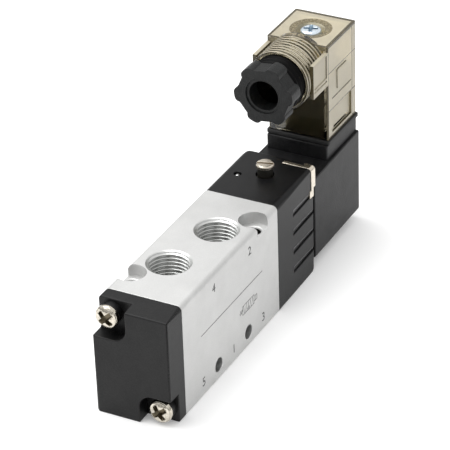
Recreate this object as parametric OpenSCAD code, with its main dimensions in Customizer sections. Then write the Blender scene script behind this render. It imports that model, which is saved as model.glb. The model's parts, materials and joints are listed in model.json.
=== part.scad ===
// Five-port, two-position solenoid valve with spring return, in millimetres.
// X runs along the valve towards the coil, Y across it, Z up from the base face.
// The origin is on the supply port's axis, at the base face.

/* [Valve body] */
// Length of the aluminium body
body_l = 44; // [42:0.5:60]
// Width of the body
body_w = 18; // [17.6:0.2:24]
// Height of the body
body_h = 27; // [26:0.5:34]
// Radius on the top edges of the body
body_edge_r = 1.2; // [0.4:0.1:2]
// Radius on the base edges of the body
base_edge_r = 0.5; // [0.2:0.1:1]
// Radius of the spool bore
bore_r = 4; // [3.4:0.05:4.3]
// Depth of the ring grooves at the ports, beyond the bore
groove_depth = 0.7; // [0.3:0.1:0.8]
// Width of the ring grooves at the ports
groove_w = 2.8; // [2.2:0.1:3.2]

/* [Ports and holes] */
// Core diameter of the port threads
port_core_d = 8.566; // [7.5:0.001:8.8]
// Diameter of the chamfered mouth of the top ports
port_mouth_d = 10.1; // [9.2:0.1:10.6]
// Depth of the threaded ports
port_depth = 7.5; // [5:0.1:8]
// Diameter of the drilled way from a port to the bore
passage_d = 4.4; // [2.5:0.1:5]
// Distance of each top port from the middle, along the body
top_port_x = 8; // [7.5:0.1:9]
// Offset of each top port across the body
top_port_y = 1.5; // [0:0.1:2]
// Distance of each exhaust port from the middle, along the body
exhaust_x = 14; // [13.4:0.1:15]
// Diameter of the side mounting holes
side_hole_d = 3.3; // [2.4:0.1:3.6]
// Distance of each side hole from the middle, along the body
side_hole_x = 7; // [6.8:0.1:7.2]
// Height of the side holes above the base
side_hole_z = 3.5; // [2.5:0.1:5]
// Diameter of the two corner screw holes
corner_hole_d = 3.2; // [2.4:0.1:3.4]
// Distance of each corner hole from the middle, along the body
corner_hole_x = 14.8; // [14.4:0.1:15.4]
// Distance of each corner hole from the middle, across the body
corner_hole_y = 6.8; // [6.7:0.05:7]
// Diameter of the spot faces over the corner holes
spot_d = 6.6; // [5:0.1:6.7]
// Depth of the spot faces
spot_depth = 2.7; // [1.5:0.1:3]
// Radius of the drilled pilot feed
feed_r = 0.7; // [0.4:0.05:0.8]

/* [Spool and piston] */
// Stroke of the spool
stroke = 3; // [2.4:0.1:3]
// Radius of the spool between its lands
waist_r = 2.4; // [1.8:0.1:2.6]
// Radius of the spool under a seal
seal_seat_r = 2.9; // [2.6:0.05:3.1]
// Width of a seal groove
seal_groove_w = 1.5; // [1.2:0.1:1.7]
// Thickness of the land on each side of a seal
land_t = 0.6; // [0.4:0.05:0.7]
// Running clearance of the sliding pieces in their bores
slide_clear = 0.06; // [0.03:0.01:0.09]
// Radius of the piston bore
piston_bore_r = 5.5; // [5:0.05:5.8]
// Thickness of the piston
piston_t = 4; // [3:0.1:4.5]
// Radius of the piston's nose
piston_nose_r = 3; // [2:0.1:3.2]

/* [End cover] */
// Length of the end cover
cover_l = 6.4; // [6:0.1:9]
// Thickness of the cover's flange under the screw heads
cover_flange_t = 2.9; // [2.2:0.1:3.4]
// Draft of the cover's sides over its length
cover_draft = 0.1; // [0.05:0.05:0.6]
// Drop of the cover's top towards its front
cover_top_drop = 0.5; // [0.1:0.05:0.8]
// Radius on the cover's front edges
cover_edge_r = 0.4; // [0.3:0.1:1.4]
// Distance of the cover screws from the side faces
cover_screw_side = 3.2; // [2.9:0.1:3.4]
// Distance of the cover screws from the base or the top
cover_screw_end = 3.4; // [3.2:0.1:4]
// Height of the bosses under the cover screws
screw_boss_h = 1.6; // [0.5:0.1:1.7]
// Wall of the upper pocket, inwards from its screw
upper_pocket_in = 4.8; // [4.2:0.1:5.2]
// Wall of the lower pocket, inwards from its screw
lower_pocket_in = 4.4; // [4.2:0.1:5.2]
// Floor of the upper pocket, below its screw
upper_pocket_down = 4.6; // [3.4:0.1:4.8]
// Roof of the lower pocket, above its screw
lower_pocket_up = 3.6; // [3.4:0.1:4.8]
// Radius in the corner of each pocket
pocket_r = 3; // [1:0.1:3.2]

/* [Fasteners] */
// Thread diameter of the cover and pilot screws
screw_d = 2.9; // [2.4:0.1:3]
// Head diameter of the cover and pilot screws
screw_head_d = 5.4; // [4.6:0.1:5.8]
// Head height of the cover and pilot screws
screw_head_h = 1.8; // [1.6:0.1:2.4]
// Height of the straight rim of these heads
screw_rim_h = 1; // [0.6:0.1:1.2]
// Depth that these screws reach into the body
screw_reach = 3.8; // [3:0.1:3.8]
// Clearance of screws and pins in their holes
screw_clear = 0.1; // [0.05:0.05:0.2]
// Thickness of the flat gaskets
gasket_t = 0.5; // [0.3:0.1:0.8]
// Inset of the flat gaskets from the outer faces
gasket_inset = 1; // [0.8:0.1:1.1]

/* [Pilot body] */
// Length of the pilot body
pilot_l = 19.6; // [19:0.1:24]
// Draft of the pilot body's sides over its length
pilot_draft = 0.4; // [0.1:0.05:0.8]
// Radius on the pilot body's edges
pilot_edge_r = 1.5; // [0.4:0.1:2]
// Chamfer under the pilot body's rear edge
pilot_chamfer = 1.6; // [0.5:0.1:2]
// Number of grip grooves on each side
grip_n = 4; // [2:1:4]
// Height from one grip groove to the next
grip_pitch = 4.85; // [4:0.05:5]
// Height of a grip groove
grip_h = 2.1; // [1.2:0.1:2.4]
// Depth of a grip groove at its lower edge
grip_depth = 0.55; // [0.2:0.05:0.6]
// Length of the grip grooves, open at the rear
grip_l = 11.6; // [8:0.1:13]
// Top edge of the highest grip groove above the base
grip_top = 22; // [21.5:0.1:22.5]
// Distance of the pilot screws from the side faces
pilot_screw_side = 3.6; // [3.5:0.1:3.8]
// Distance of the pilot screws from the base or the top
pilot_screw_end = 3.9; // [3.5:0.1:4.2]
// Length of the piston bore
piston_bore_l = 7.4; // [7.4:0.1:8]

/* [Manual override] */
// Diameter of the override stem
override_d = 4; // [3:0.1:4.2]
// Distance of the override from the body's end
override_x = 11.4; // [11:0.1:11.8]
// Offset of the override across the pilot body
override_y = -0.4; // [-1:0.1:1]
// Height of the override's top above the pilot body
override_proud = 2.9; // [2.7:0.1:4]
// Thickness of the override's head
override_head_t = 1; // [0.9:0.05:1.1]
// Diameter of the neck under the override's head
override_neck_d = 3.5; // [2.8:0.1:3.6]
// Travel of the override
override_push = 1.5; // [1:0.1:1.6]
// Width of the screwdriver slot
slot_w = 0.7; // [0.5:0.1:1]
// Depth of the screwdriver slot
slot_depth = 0.6; // [0.4:0.05:0.8]
// Turn of the slot from square across the body, in degrees
slot_turn = 18; // [-45:1:45]
// Diameter of the plugged passage beside the override
plug_d = 1.7; // [1.2:0.1:2]
// Distance of the plugged passage from the body's end
plug_x = 9.15; // [8.8:0.05:9.4]
// Offset of the plugged passage across the pilot body
plug_y = 5.3; // [5.2:0.05:5.5]

/* [Solenoid] */
// Outer radius of the armature tube
tube_r = 4.45; // [4.2:0.05:4.7]
// Wall of the armature tube
tube_wall = 0.4; // [0.25:0.05:0.6]
// Radius of the tube's flange
flange_r = 7; // [6.7:0.05:7.2]
// Thickness of the tube's flange
flange_t = 2.93; // [2.7:0.01:3.2]
// Length of the armature
armature_l = 12; // [10:0.1:13]
// Travel of the armature
armature_gap = 0.8; // [0.5:0.05:1]
// Thickness of the retaining plate
plate_t = 1; // [0.6:0.05:1.2]
// Height of the retaining plate below the pilot body's top
plate_h = 7.3; // [7:0.1:7.6]
// Length of the coil housing
coil_l = 24.8; // [24:0.1:28]
// Half width of the coil housing at its front
coil_half_w = 8.5; // [8.1:0.05:8.8]
// Draft of the coil housing's sides over its length
coil_draft = 0.4; // [0.05:0.05:0.6]
// Drop of the coil housing's top below the body's top
coil_drop = 3.65; // [3.1:0.05:4.1]
// Height of the coil housing's bottom above the base
coil_foot = 2.6; // [2:0.05:4]
// Radius on the coil housing's edges
coil_edge_r = 0.6; // [0.4:0.1:2]
// Outer radius of the winding
winding_r = 6.9; // [6:0.1:7]
// Thickness of the steel yoke
yoke_t = 1.2; // [0.8:0.1:1.4]

/* [Connector] */
// Length of the connector housing along the valve
conn_l = 14.8; // [14:0.1:16]
// Width of the connector housing
conn_w = 14.94; // [14.6:0.02:15.6]
// Height of the connector housing
conn_h = 23.56; // [23:0.02:26]
// Wall of the connector housing
conn_wall = 1.3; // [1:0.1:1.6]
// Thickness of the connector housing's roof
conn_roof = 1.56; // [1.2:0.02:1.8]
// Radius on the connector housing's upright corners
conn_corner_r = 0.4; // [0.3:0.1:1.2]
// Distance of the connector's front face from the coil's front face
conn_x = 9.5; // [9:0.1:10.5]
// Height of the coil's pedestal under the connector
pedestal_h = 3.6; // [2.5:0.1:4]
// Thickness of the connector gasket
conn_gasket_t = 0.95; // [0.6:0.05:1.2]
// Distance that the connector gasket stands proud of the housing
gasket_proud = 0.4; // [0:0.05:0.5]
// Height of the terminal block
block_h = 13.9; // [12:0.1:14.2]
// Thickness of the contact blades
blade_t = 0.8; // [0.6:0.05:1]
// Width of the contact blades
blade_w = 4.8; // [3.5:0.1:5]
// Distance of the two current blades from the middle
blade_y = 4; // [3.9:0.05:4.2]
// Distance of the earth blade behind the screw
earth_x = 4.7; // [4.4:0.05:4.9]
// Diameter of the connector screw's thread
conn_screw_d = 2.5; // [2:0.1:2.8]
// Diameter of the connector screw's head
conn_head_d = 4.7; // [4:0.1:5.2]
// Height of the connector screw's head
conn_head_h = 1.8; // [1.2:0.1:2]
// Diameter of the well round the connector screw
well_d = 7; // [6.2:0.1:7.2]
// Diameter of the dished ring round the well
dish_d = 10.3; // [8:0.1:10.8]
// Depth of the dished ring
dish_depth = 0.8; // [0.3:0.1:1]

/* [Cable gland] */
// Height of the gland axis above the connector's base
gland_h = 18.16; // [17.6:0.02:18.6]
// Length of the barrel in front of the connector
barrel_l = 9.3; // [9:0.1:12]
// Radius over the ribs of the barrel
barrel_r = 7.1; // [6.9:0.05:7.4]
// Depth between the ribs of the barrel
rib_depth = 0.35; // [0.1:0.05:0.4]
// Number of ribs on the barrel
rib_n = 6; // [3:1:8]
// Height from one rib to the next along the barrel
rib_pitch = 1.15; // [0.8:0.05:1.2]
// Radius of the barrel's bore
barrel_bore_r = 6.3; // [6:0.05:6.4]
// Radius of the cable way
cable_r = 4; // [3:0.05:4.4]
// Radius of the grommet's hole
grommet_hole_r = 3; // [2:0.1:3.2]
// Length of the gland nut's grip
nut_grip_l = 4.2; // [3.5:0.1:6]
// Distance of the gland nut's flats from its axis
nut_flat_r = 6.1; // [5.8:0.05:6.2]
// Radius over the ribs at the gland nut's corners
nut_rib_r = 7.15; // [7.05:0.05:7.6]
// Width of a rib on the gland nut
nut_rib_w = 3.6; // [3:0.1:4.2]
// Length of nut shank that shows between grip and barrel
nut_shank_shown = 3.7; // [3:0.1:5]
// Length of nut shank inside the barrel
nut_shank_in = 4.45; // [3.6:0.05:4.8]
// Length of the grommet
grommet_l = 3; // [2.2:0.05:3.2]
// Thickness of the gland washer
gland_washer_t = 0.55; // [0.4:0.05:0.8]

/* [Hidden] */
$fn = 64;

// Overcut of every cut through a face
over = 1;
// Gap that lets a fixed piece drop into its seat
seat_gap = 0.05;
// Segments in a rounded corner of an outline
corner_n = 6;

// Body
end_x = body_l / 2;
axis_z = body_h / 2;
groove_r = bore_r + groove_depth;
port_core_r = port_core_d / 2;
exhaust_ports = [-exhaust_x, 0, exhaust_x];
top_ports = [[-top_port_x, top_port_y], [top_port_x, -top_port_y]];
corner_holes = [[-corner_hole_x, corner_hole_y], [corner_hole_x, -corner_hole_y]];
mouth_chamfer = (port_mouth_d - port_core_d) / 2;
cover_screw_y = body_w / 2 - cover_screw_side;
cover_screw_h = axis_z - cover_screw_end;
pilot_screw_y = body_w / 2 - pilot_screw_side;
pilot_screw_h = axis_z - pilot_screw_end;
// Pilot feed: height above the bore axis, and its start below the supply port's end
feed_y = plug_y;
feed_h = 4.5;
feed_start = 2.5;
screw_r = screw_d / 2;
// Bosses under the cover screws, and the domed heads
screw_boss_step = 0.2;
screw_boss_r = screw_head_d / 2 - screw_boss_step;
screw_dome_h = screw_head_h - screw_rim_h;
screw_dome_r = (pow(screw_head_d / 2, 2) + pow(screw_dome_h, 2)) / (2 * screw_dome_h);
// Depth that a tapped hole runs past its screw
tap_spare = 0.2;
gasket_corner_r = 1;
screw_hole_r = screw_r + screw_clear / 2;
clear_hole_r = screw_r + screw_clear;

// Spool: three seals for each top port, placed by the port and the stroke
land_r = bore_r - slide_clear;
seal_wire_r = (land_r - seal_seat_r) / 2;
// Margin that keeps the end seals off the exhaust grooves
seal_margin = 0.2;
end_seal_x = exhaust_x + groove_w / 2 + stroke + seal_groove_w / 2 + land_t + seal_margin;
seal_places = [
    -(end_seal_x - stroke), -top_port_x, -(top_port_x - stroke),
    top_port_x, top_port_x + stroke, end_seal_x
];
seal_half = seal_groove_w / 2 + land_t;
spool_low_x = seal_places[0] - seal_half;
spool_high_x = seal_places[5] + seal_half;
spring_nub_r = 1.3;
spring_nub_l = 1.5;

// Return spring
return_spring_r = 2.3;
return_spring_wire = 0.6;
return_spring_turns = 5.5;
spring_pocket_r = 3.2;
spring_wall = 1.3;
cover_front_x = -(end_x + cover_l);
cover_seat_x = -end_x - cover_flange_t - screw_boss_h;
spring_low_x = cover_front_x + spring_wall + seat_gap;

// Pilot body and piston
pilot_rear_x = end_x + pilot_l;
piston_floor_x = end_x + piston_bore_l;
piston_r = piston_bore_r - slide_clear;
piston_gap = 0.2;
piston_rear_x = piston_floor_x - piston_gap;
piston_front_x = piston_rear_x - piston_t;
piston_nose_x = spool_high_x + seat_gap;
piston_seal_wire = 0.55;
piston_groove_half = 0.7;
piston_seal_x = (piston_front_x + piston_rear_x) / 2;
pilot_head_depth = 4;
pilot_head_x = end_x + pilot_head_depth;
head_recess_r = screw_head_d / 2 + screw_clear;
// Radius of the small drilled ways in the pilot body
drill_r = 0.6;
// Room left round a soft ring or a pressed ball
seal_slack = 0.02;
ball_sunk = 0.2;

// Manual override, from the pilot body's top
override_axis = [end_x + override_x, override_y];
override_r = override_d / 2;
override_bore_r = override_r + slide_clear;
override_floor_h = 3.5;
override_floor = axis_z + override_floor_h;
override_top = body_h + override_proud;
override_head_z = override_top - override_head_t;
override_chamfer = 0.25;
// Depth that the neck reaches into the pilot body
override_neck_in = 0.6;
override_land = 1.8;
override_seal_w = 1.2;
override_seal_wire = 0.32;
override_seal_depth = 2.6;
override_seal_z = body_h - override_seal_depth;
override_shoulder = override_seal_z - override_seal_w / 2 - override_land;
override_tip_r = 0.9;
override_tip_gap = 0.3;
override_tip_z = override_floor + override_push + override_tip_gap;
override_spring_r = 1.42;
override_spring_wire = 0.4;
override_spring_turns = 3.5;

// Solenoid, from the pilot body's rear face
flange_seat_x = pilot_rear_x - flange_t - 2 * seat_gap;
flange_x = flange_seat_x + seat_gap;
chamber_gap = 0.15;
chamber_r = tube_r + chamber_gap;
chamber_l = 2.4;
tube_bore_r = tube_r - tube_wall;
armature_r = tube_bore_r - slide_clear;
// Distance that the armature stands out of the flange, and that it stops short of the core
armature_proud = 0.45;
core_gap = 0.2;
armature_x = flange_x - armature_proud;
armature_rear_x = armature_x + armature_l;
core_x = armature_rear_x + armature_gap + core_gap;
nozzle_r = 2;
nozzle_bore_r = 0.5;
nozzle_seat_l = 1.6;
nozzle_x = flange_seat_x - chamber_l - nozzle_seat_l;
nozzle_tip_r = 1.4;
tube_seal_wire = 0.42;
tube_seal_r = 5.45;
tube_seal_seat = 0.9;
neck_r = 5.9;
// Retaining plate: its place on the flange, its hook and folded corner, and the angle where its arc ends
plate_setback = 0.95;
plate_x = flange_x + plate_setback;
plate_hook_l = 0.8;
plate_hook_w = 1;
plate_hook_h = 1.8;
plate_fold_w = 2.6;
plate_fold_h = 5.2;
plate_fold_gap = 0.15;
plate_in_y = 1.5;
plate_sunk = 0.2;
plate_corner_r = 1;
plate_foot_z = body_h - plate_h;
plate_arc_end = 33.6;
spring_bore_r = 2.05;
spring_bore_l = 4;
armature_spring_r = 1.65;
armature_spring_wire = 0.4;
armature_spring_turns = 4;
armature_seal_r = 2.2;
armature_seal_t = 1.6;

// Coil, from the pilot body's rear face
coil_x = pilot_rear_x;
coil_rear_x = coil_x + coil_l;
coil_bottom = coil_foot;
coil_top = body_h - coil_drop;
// Resin in front of the yoke and behind it
coil_skin = 0.8;
coil_back = 1.8;
yoke_x = coil_x + coil_skin;
yoke_rear_x = coil_rear_x - coil_back;
yoke_half_w = 7.1;
yoke_up = 7.3;
yoke_down = 8.4;
bobbin_x = yoke_x + yoke_t;
bobbin_rear_x = yoke_rear_x - yoke_t;
bobbin_r = tube_r + seat_gap;
bobbin_wall = 0.7;
bobbin_flange_t = 0.9;
core_rear_x = bobbin_rear_x;
core_head_l = 2;
tube_end_x = core_rear_x - core_head_l;

// Connector, from the coil's top
conn_x0 = coil_x + conn_x;
conn_x1 = conn_x0 + conn_l;
conn_z0 = coil_top + pedestal_h + conn_gasket_t;
conn_z1 = conn_z0 + conn_h;
pedestal_z = coil_top + pedestal_h;
pedestal_grow = 0.1;
pedestal_fore = 1;
// Distance of the screw in front of the housing's middle
screw_shift = 0.3;
screw_x = (conn_x0 + conn_x1) / 2 - screw_shift;
cavity_half_w = conn_w / 2 - conn_wall;
cavity_x0 = conn_x0 + conn_wall;
cavity_x1 = conn_x1 - conn_wall;
cavity_z = conn_z1 - conn_roof;
block_fit = 0.1;
// Depth of the screw's head below the roof, and of its tip above the pedestal's root
head_sunk = 0.4;
screw_tip_gap = 0.3;
head_top_z = conn_z1 - head_sunk;
conn_crown_r = 0.81;
head_seat_z = head_top_z - conn_head_h;
washer_t = 0.5;
well_z = head_seat_z - washer_t;
well_wall = 1.1;
well_floor_t = 2.4;
column_r = well_d / 2 + well_wall;
column_z = well_z - well_floor_t;
conn_screw_r = conn_screw_d / 2;
// Reach of the blades into the terminal block
blade_reach = 5.1;
blade_top = conn_z0 + blade_reach;
earth_blade_x = screw_x + earth_x;
// Half sizes of a clip across and along its blade
clip_half_t = 1.25;
clip_side = 0.2;
clip_half_w = blade_w / 2 + clip_side;
clip_floor_t = 2.2;
clip_floor = conn_z0 + clip_floor_t;
clip_h = 10.8;
clip_slot_spare = 0.4;
pocket_fit = 0.15;

// Opening in the connector gasket
gasket_frame = 2.3;
gasket_hole_r = 0.5;
earth_relief = 0.6;

// Panels on the connector's sides, from its lower front corner: field, groove, frame and latch slot
panel_depth = 0.2;
field_depth = 0.5;
field_low = [2.2, 1.2];
field_high = [12.2, 7.1];
groove_low = [2.2, 9.7];
groove_high = [12.2, 9.95];
frame_low = [4.6, 11.3];
frame_high = [9.6, 16];
latch_low = [3.9, 1.45];
latch_high = [10.9, 1.95];

// Cable gland
gland_z = conn_z0 + gland_h;
barrel_x = conn_x0 - barrel_l;
// Smooth neck between the last rib and the housing
barrel_neck = 1.4;
rib_x = conn_x0 - barrel_neck;
shoulder_x = barrel_x + nut_shank_in + gland_washer_t + grommet_l + 4 * seat_gap;
shank_r = barrel_bore_r - slide_clear;
nut_shank_end = barrel_x + nut_shank_in;
nut_grip_x = barrel_x - nut_shank_shown;
nut_x = nut_grip_x - nut_grip_l;
lip_flare = 0.45;
// Flat pads on the barrel: a bordered field with a groove below it
pad_setback = 2.1;
pad_x = barrel_x + pad_setback;
pad_half_h = 4.1;
pad_t = 0.35;
pad_root = 0.6;
pad_border = 0.5;
pad_field_h = 5.6;
pad_field_depth = 0.2;
pad_line_h = 0.4;
// Gland nut: ribs, their round ends, the turn of the first one, and the cable's mouth
nut_ribs = 6;
nut_rib_end_r = 1.3;
nut_turn = -7.5;
nut_mouth = 0.4;
wire_way_gap = 0.3;
washer_hole_gap = 0.15;
wire_way_r = cable_r + wire_way_gap;
washer_hole_r = cable_r + washer_hole_gap;

// Outline points on an arc
function arc_points(centre, r, from, to, n = corner_n) = [
    for (i = [0 : n])
        let (a = from + (to - from) * i / n)
        centre + r * [cos(a), sin(a)]
];

// Outline of a rectangle with its lower and upper corners rounded
function round_rect(low, high, r_low, r_high) = concat(
    arc_points([high.x - r_low, low.y + r_low], r_low, -90, 0),
    arc_points([high.x - r_high, high.y - r_high], r_high, 0, 90),
    arc_points([low.x + r_high, high.y - r_high], r_high, 90, 180),
    arc_points([low.x + r_low, low.y + r_low], r_low, 180, 270)
);

// Outline across the valve, drawn in Y and Z, run along X
module along_x(x0, x1) {
    translate([x0, 0, 0])
        rotate([90, 0, 90])
            linear_extrude(x1 - x0)
                children();
}

// Outline seen from the side, drawn in X and Z, run across the valve
module along_y(half_w) {
    translate([0, half_w, 0])
        rotate([90, 0, 0])
            linear_extrude(2 * half_w)
                children();
}

// Round bar along X, on the bore axis unless told otherwise
module bar(x0, x1, r, z = axis_z, y = 0) {
    translate([x0, y, z])
        rotate([0, 90, 0])
            cylinder(r = r, h = x1 - x0);
}

// Cone along X
module cone(x0, x1, r0, r1, z = axis_z) {
    translate([x0, 0, z])
        rotate([0, 90, 0])
            cylinder(r1 = r0, r2 = r1, h = x1 - x0);
}

// O-ring round an axis along X
module o_ring(x, seat_r, wire_r, z = axis_z) {
    translate([x, 0, z])
        rotate([0, 90, 0])
            rotate_extrude()
                translate([seat_r + wire_r, 0])
                    circle(r = wire_r, $fn = 32);
}

// Upright round spring: one tube with eight rings a turn and six sides
module spring(mean_r, wire, length, turns) {
    sides = 6;
    rings = round(turns * 8);
    rise = length - wire;
    points = [
        for (i = [0 : rings])
            let (a = 360 * turns * i / rings, z = wire / 2 + rise * i / rings)
            for (k = [0 : sides - 1])
                let (b = 360 * k / sides, r = mean_r + wire / 2 * cos(b))
                [r * cos(a), r * sin(a), z + wire / 2 * sin(b)]
    ];
    walls = [
        for (i = [0 : rings - 1])
            for (k = [0 : sides - 1])
                let (p = i * sides + k, q = i * sides + (k + 1) % sides)
                each [[p, q, q + sides], [p, q + sides, p + sides]]
    ];
    last = rings * sides;
    caps = [
        for (k = [1 : sides - 2])
            each [[0, k + 1, k], [last, last + k, last + k + 1]]
    ];
    echo(str("least gap between turns: ", rise / turns - wire, " mm"));
    polyhedron(points, concat(walls, caps), convexity = 10);
}

// Pan head screw along +X, with its seat at x and its shank towards higher x
module pan_screw(x, y, z, reach) {
    head_r = screw_head_d / 2;
    rim = asin(head_r / screw_dome_r);
    profile = concat(
        [[0, reach]],
        arc_points([0, screw_dome_r - screw_head_h], screw_dome_r, -90, rim - 90),
        [[head_r, 0], [screw_r, 0], [screw_r, reach]]
    );
    translate([x, y, z])
        rotate([0, 90, 0])
            rotate_extrude()
                polygon(profile);
}

// Extruded body with its ports, passages and screw holes
module valve_body() {
    color("gainsboro")
        difference() {
            along_x(-end_x, end_x)
                polygon(round_rect([-body_w / 2, 0], [body_w / 2, body_h], base_edge_r, body_edge_r));
            bar(-end_x - over, end_x + over, bore_r);
            for (x = concat(exhaust_ports, [-top_port_x, top_port_x]))
                bar(x - groove_w / 2, x + groove_w / 2, groove_r);
            for (p = top_ports)
                top_port(p);
            for (x = exhaust_ports)
                base_port(x);
            for (s = [-1, 1])
                translate([s * side_hole_x, 0, side_hole_z])
                    rotate([90, 0, 0])
                        cylinder(d = side_hole_d, h = body_w + 2 * over, center = true);
            for (p = corner_holes)
                corner_hole(p);
            for (s = [-1, 1]) {
                bar(-end_x - over, -end_x + screw_reach + tap_spare, screw_hole_r,
                    axis_z + s * cover_screw_h, s * cover_screw_y);
                bar(end_x - screw_reach - tap_spare, end_x + over, screw_hole_r,
                    axis_z + s * pilot_screw_h, -s * pilot_screw_y);
            }
            pilot_feed();
        }
}

module top_port(place) {
    translate([place.x, place.y, body_h - port_depth])
        cylinder(r = port_core_r, h = port_depth + over);
    translate([place.x, place.y, body_h - mouth_chamfer])
        cylinder(r1 = port_core_r, r2 = port_core_r + 2 * mouth_chamfer, h = 2 * mouth_chamfer);
    translate([place.x, place.y, axis_z])
        cylinder(d = passage_d, h = body_h - port_depth - axis_z + over);
}

module base_port(x) {
    translate([x, 0, -over])
        cylinder(r = port_core_r, h = port_depth + over);
    translate([x, 0, port_depth - over])
        cylinder(d = passage_d, h = axis_z - port_depth + over);
}

module corner_hole(place) {
    translate([place.x, place.y, -over])
        cylinder(d = corner_hole_d, h = body_h + 2 * over);
    translate([place.x, place.y, body_h - spot_depth])
        cylinder(d = spot_d, h = spot_depth + over);
}

// Drilled way from the supply port to the pilot end
module pilot_feed() {
    start_z = port_depth - feed_start;
    rise = axis_z + feed_h - start_z;
    bar(-feed_r, end_x + over, feed_r, axis_z + feed_h, feed_y);
    translate([0, 0, start_z])
        rotate([-atan2(feed_y, rise), 0, 0])
            cylinder(r = feed_r, h = norm([feed_y, rise]));
}

// Corner pocket of the end cover: side +1 is the upper one, -1 the lower
module cover_pocket(side) {
    wall = cover_screw_y - (side > 0 ? upper_pocket_in : lower_pocket_in);
    floor = cover_screw_h - (side > 0 ? upper_pocket_down : lower_pocket_up);
    outline = concat(
        arc_points([wall + pocket_r, floor + pocket_r], pocket_r, 180, 270),
        [[body_w, floor], [body_w, body_h], [wall, body_h]]
    );
    translate([0, 0, axis_z])
        rotate([side > 0 ? 0 : 180, 0, 0])
            along_x(cover_front_x - over, -end_x - cover_flange_t)
                polygon(outline);
}

// Moulded cover with a drafted, round-edged front and two corner pockets
module end_cover() {
    half = body_w / 2;
    front = half - cover_draft;
    r = cover_edge_r;
    plan = concat(
        [[-end_x, half], [-end_x, -half]],
        arc_points([cover_front_x + r, -front + r], r, 270, 180),
        arc_points([cover_front_x + r, front - r], r, 180, 90)
    );
    side = concat(
        [[-end_x, body_h], [-end_x, 0], [cover_front_x, 0]],
        arc_points([cover_front_x + r, body_h - cover_top_drop - r], r, 180, 90)
    );
    color("dimgray")
        difference() {
            union() {
                difference() {
                    intersection() {
                        along_x(cover_front_x, -end_x)
                            polygon(round_rect([-half, 0], [half, body_h], base_edge_r, body_edge_r));
                        linear_extrude(body_h)
                            polygon(plan);
                        along_y(half)
                            polygon(side);
                    }
                    for (s = [-1, 1])
                        cover_pocket(s);
                }
                for (s = [-1, 1])
                    bar(cover_seat_x, cover_seat_x + screw_boss_h + over, screw_boss_r,
                        axis_z + s * cover_screw_h, s * cover_screw_y);
            }
            for (s = [-1, 1])
                bar(cover_front_x, -end_x + over, clear_hole_r,
                    axis_z + s * cover_screw_h, s * cover_screw_y);
            along_x(-end_x - gasket_t, -end_x + over)
                gasket_outline(0);
            bar(cover_front_x + spring_wall, -end_x + over, spring_pocket_r);
        }
}

module gasket_outline(inset) {
    low = gasket_inset + inset;
    side = body_w / 2 - low;
    r = gasket_corner_r;
    polygon(round_rect([-side, low], [side, body_h - low], r, r));
}

module end_cover_gasket() {
    color("black")
        difference() {
            along_x(-end_x - gasket_t, -end_x)
                gasket_outline(seat_gap);
            bar(-end_x - gasket_t - over, -end_x + over, groove_r);
            for (s = [-1, 1])
                bar(-end_x - gasket_t - over, -end_x + over, clear_hole_r + screw_clear,
                    axis_z + s * cover_screw_h, s * cover_screw_y);
        }
}

module end_cover_screws() {
    color("silver")
        for (s = [-1, 1])
            pan_screw(cover_seat_x, s * cover_screw_y, axis_z + s * cover_screw_h,
                screw_reach - end_x - cover_seat_x);
}

module return_spring() {
    color("lightgray")
        translate([spring_low_x, 0, axis_z])
            rotate([0, 90, 0])
                spring(return_spring_r, return_spring_wire, spool_low_x - seat_gap - spring_low_x,
                    return_spring_turns);
}

// Spool with a grooved pair of lands at each seal
module spool() {
    color("silver")
        difference() {
            union() {
                bar(spool_low_x, spool_high_x, waist_r);
                bar(spool_low_x - spring_nub_l, spool_low_x + over, spring_nub_r);
                for (x = seal_places)
                    bar(x - seal_half, x + seal_half, land_r);
            }
            for (x = seal_places)
                difference() {
                    bar(x - seal_groove_w / 2, x + seal_groove_w / 2, bore_r);
                    bar(x - seal_groove_w, x + seal_groove_w, seal_seat_r);
                }
        }
}

module spool_seals() {
    color("black")
        for (x = seal_places)
            o_ring(x, seal_seat_r, seal_wire_r);
}

module pilot_piston() {
    seat = piston_r - 2 * piston_seal_wire;
    color("white")
        difference() {
            union() {
                bar(piston_nose_x, piston_rear_x, piston_nose_r);
                bar(piston_front_x, piston_rear_x, piston_r);
            }
            difference() {
                bar(piston_seal_x - piston_groove_half, piston_seal_x + piston_groove_half, piston_bore_r);
                bar(piston_front_x, piston_rear_x, seat);
            }
        }
}

module piston_seal() {
    color("black")
        o_ring(piston_seal_x, piston_r - 2 * piston_seal_wire, piston_seal_wire);
}

module pilot_gasket() {
    color("black")
        difference() {
            along_x(end_x, end_x + gasket_t)
                gasket_outline(seat_gap);
            bar(end_x - over, end_x + gasket_t + over, piston_bore_r + seat_gap);
            bar(end_x - over, end_x + gasket_t + over, feed_r + seat_gap, axis_z + feed_h, feed_y);
            for (s = [-1, 1])
                bar(end_x - over, end_x + gasket_t + over, clear_hole_r + screw_clear,
                    axis_z + s * pilot_screw_h, -s * pilot_screw_y);
        }
}

// Grip groove on one side: it deepens downwards to a ledge
module grip_groove(top) {
    outline = [
        [body_w / 2 + over, top], [body_w / 2, top],
        [body_w / 2 - pilot_draft - grip_depth, top - grip_h], [body_w / 2 + over, top - grip_h]
    ];
    along_x(pilot_rear_x - grip_l, pilot_rear_x + over)
        polygon(outline);
}

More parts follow.
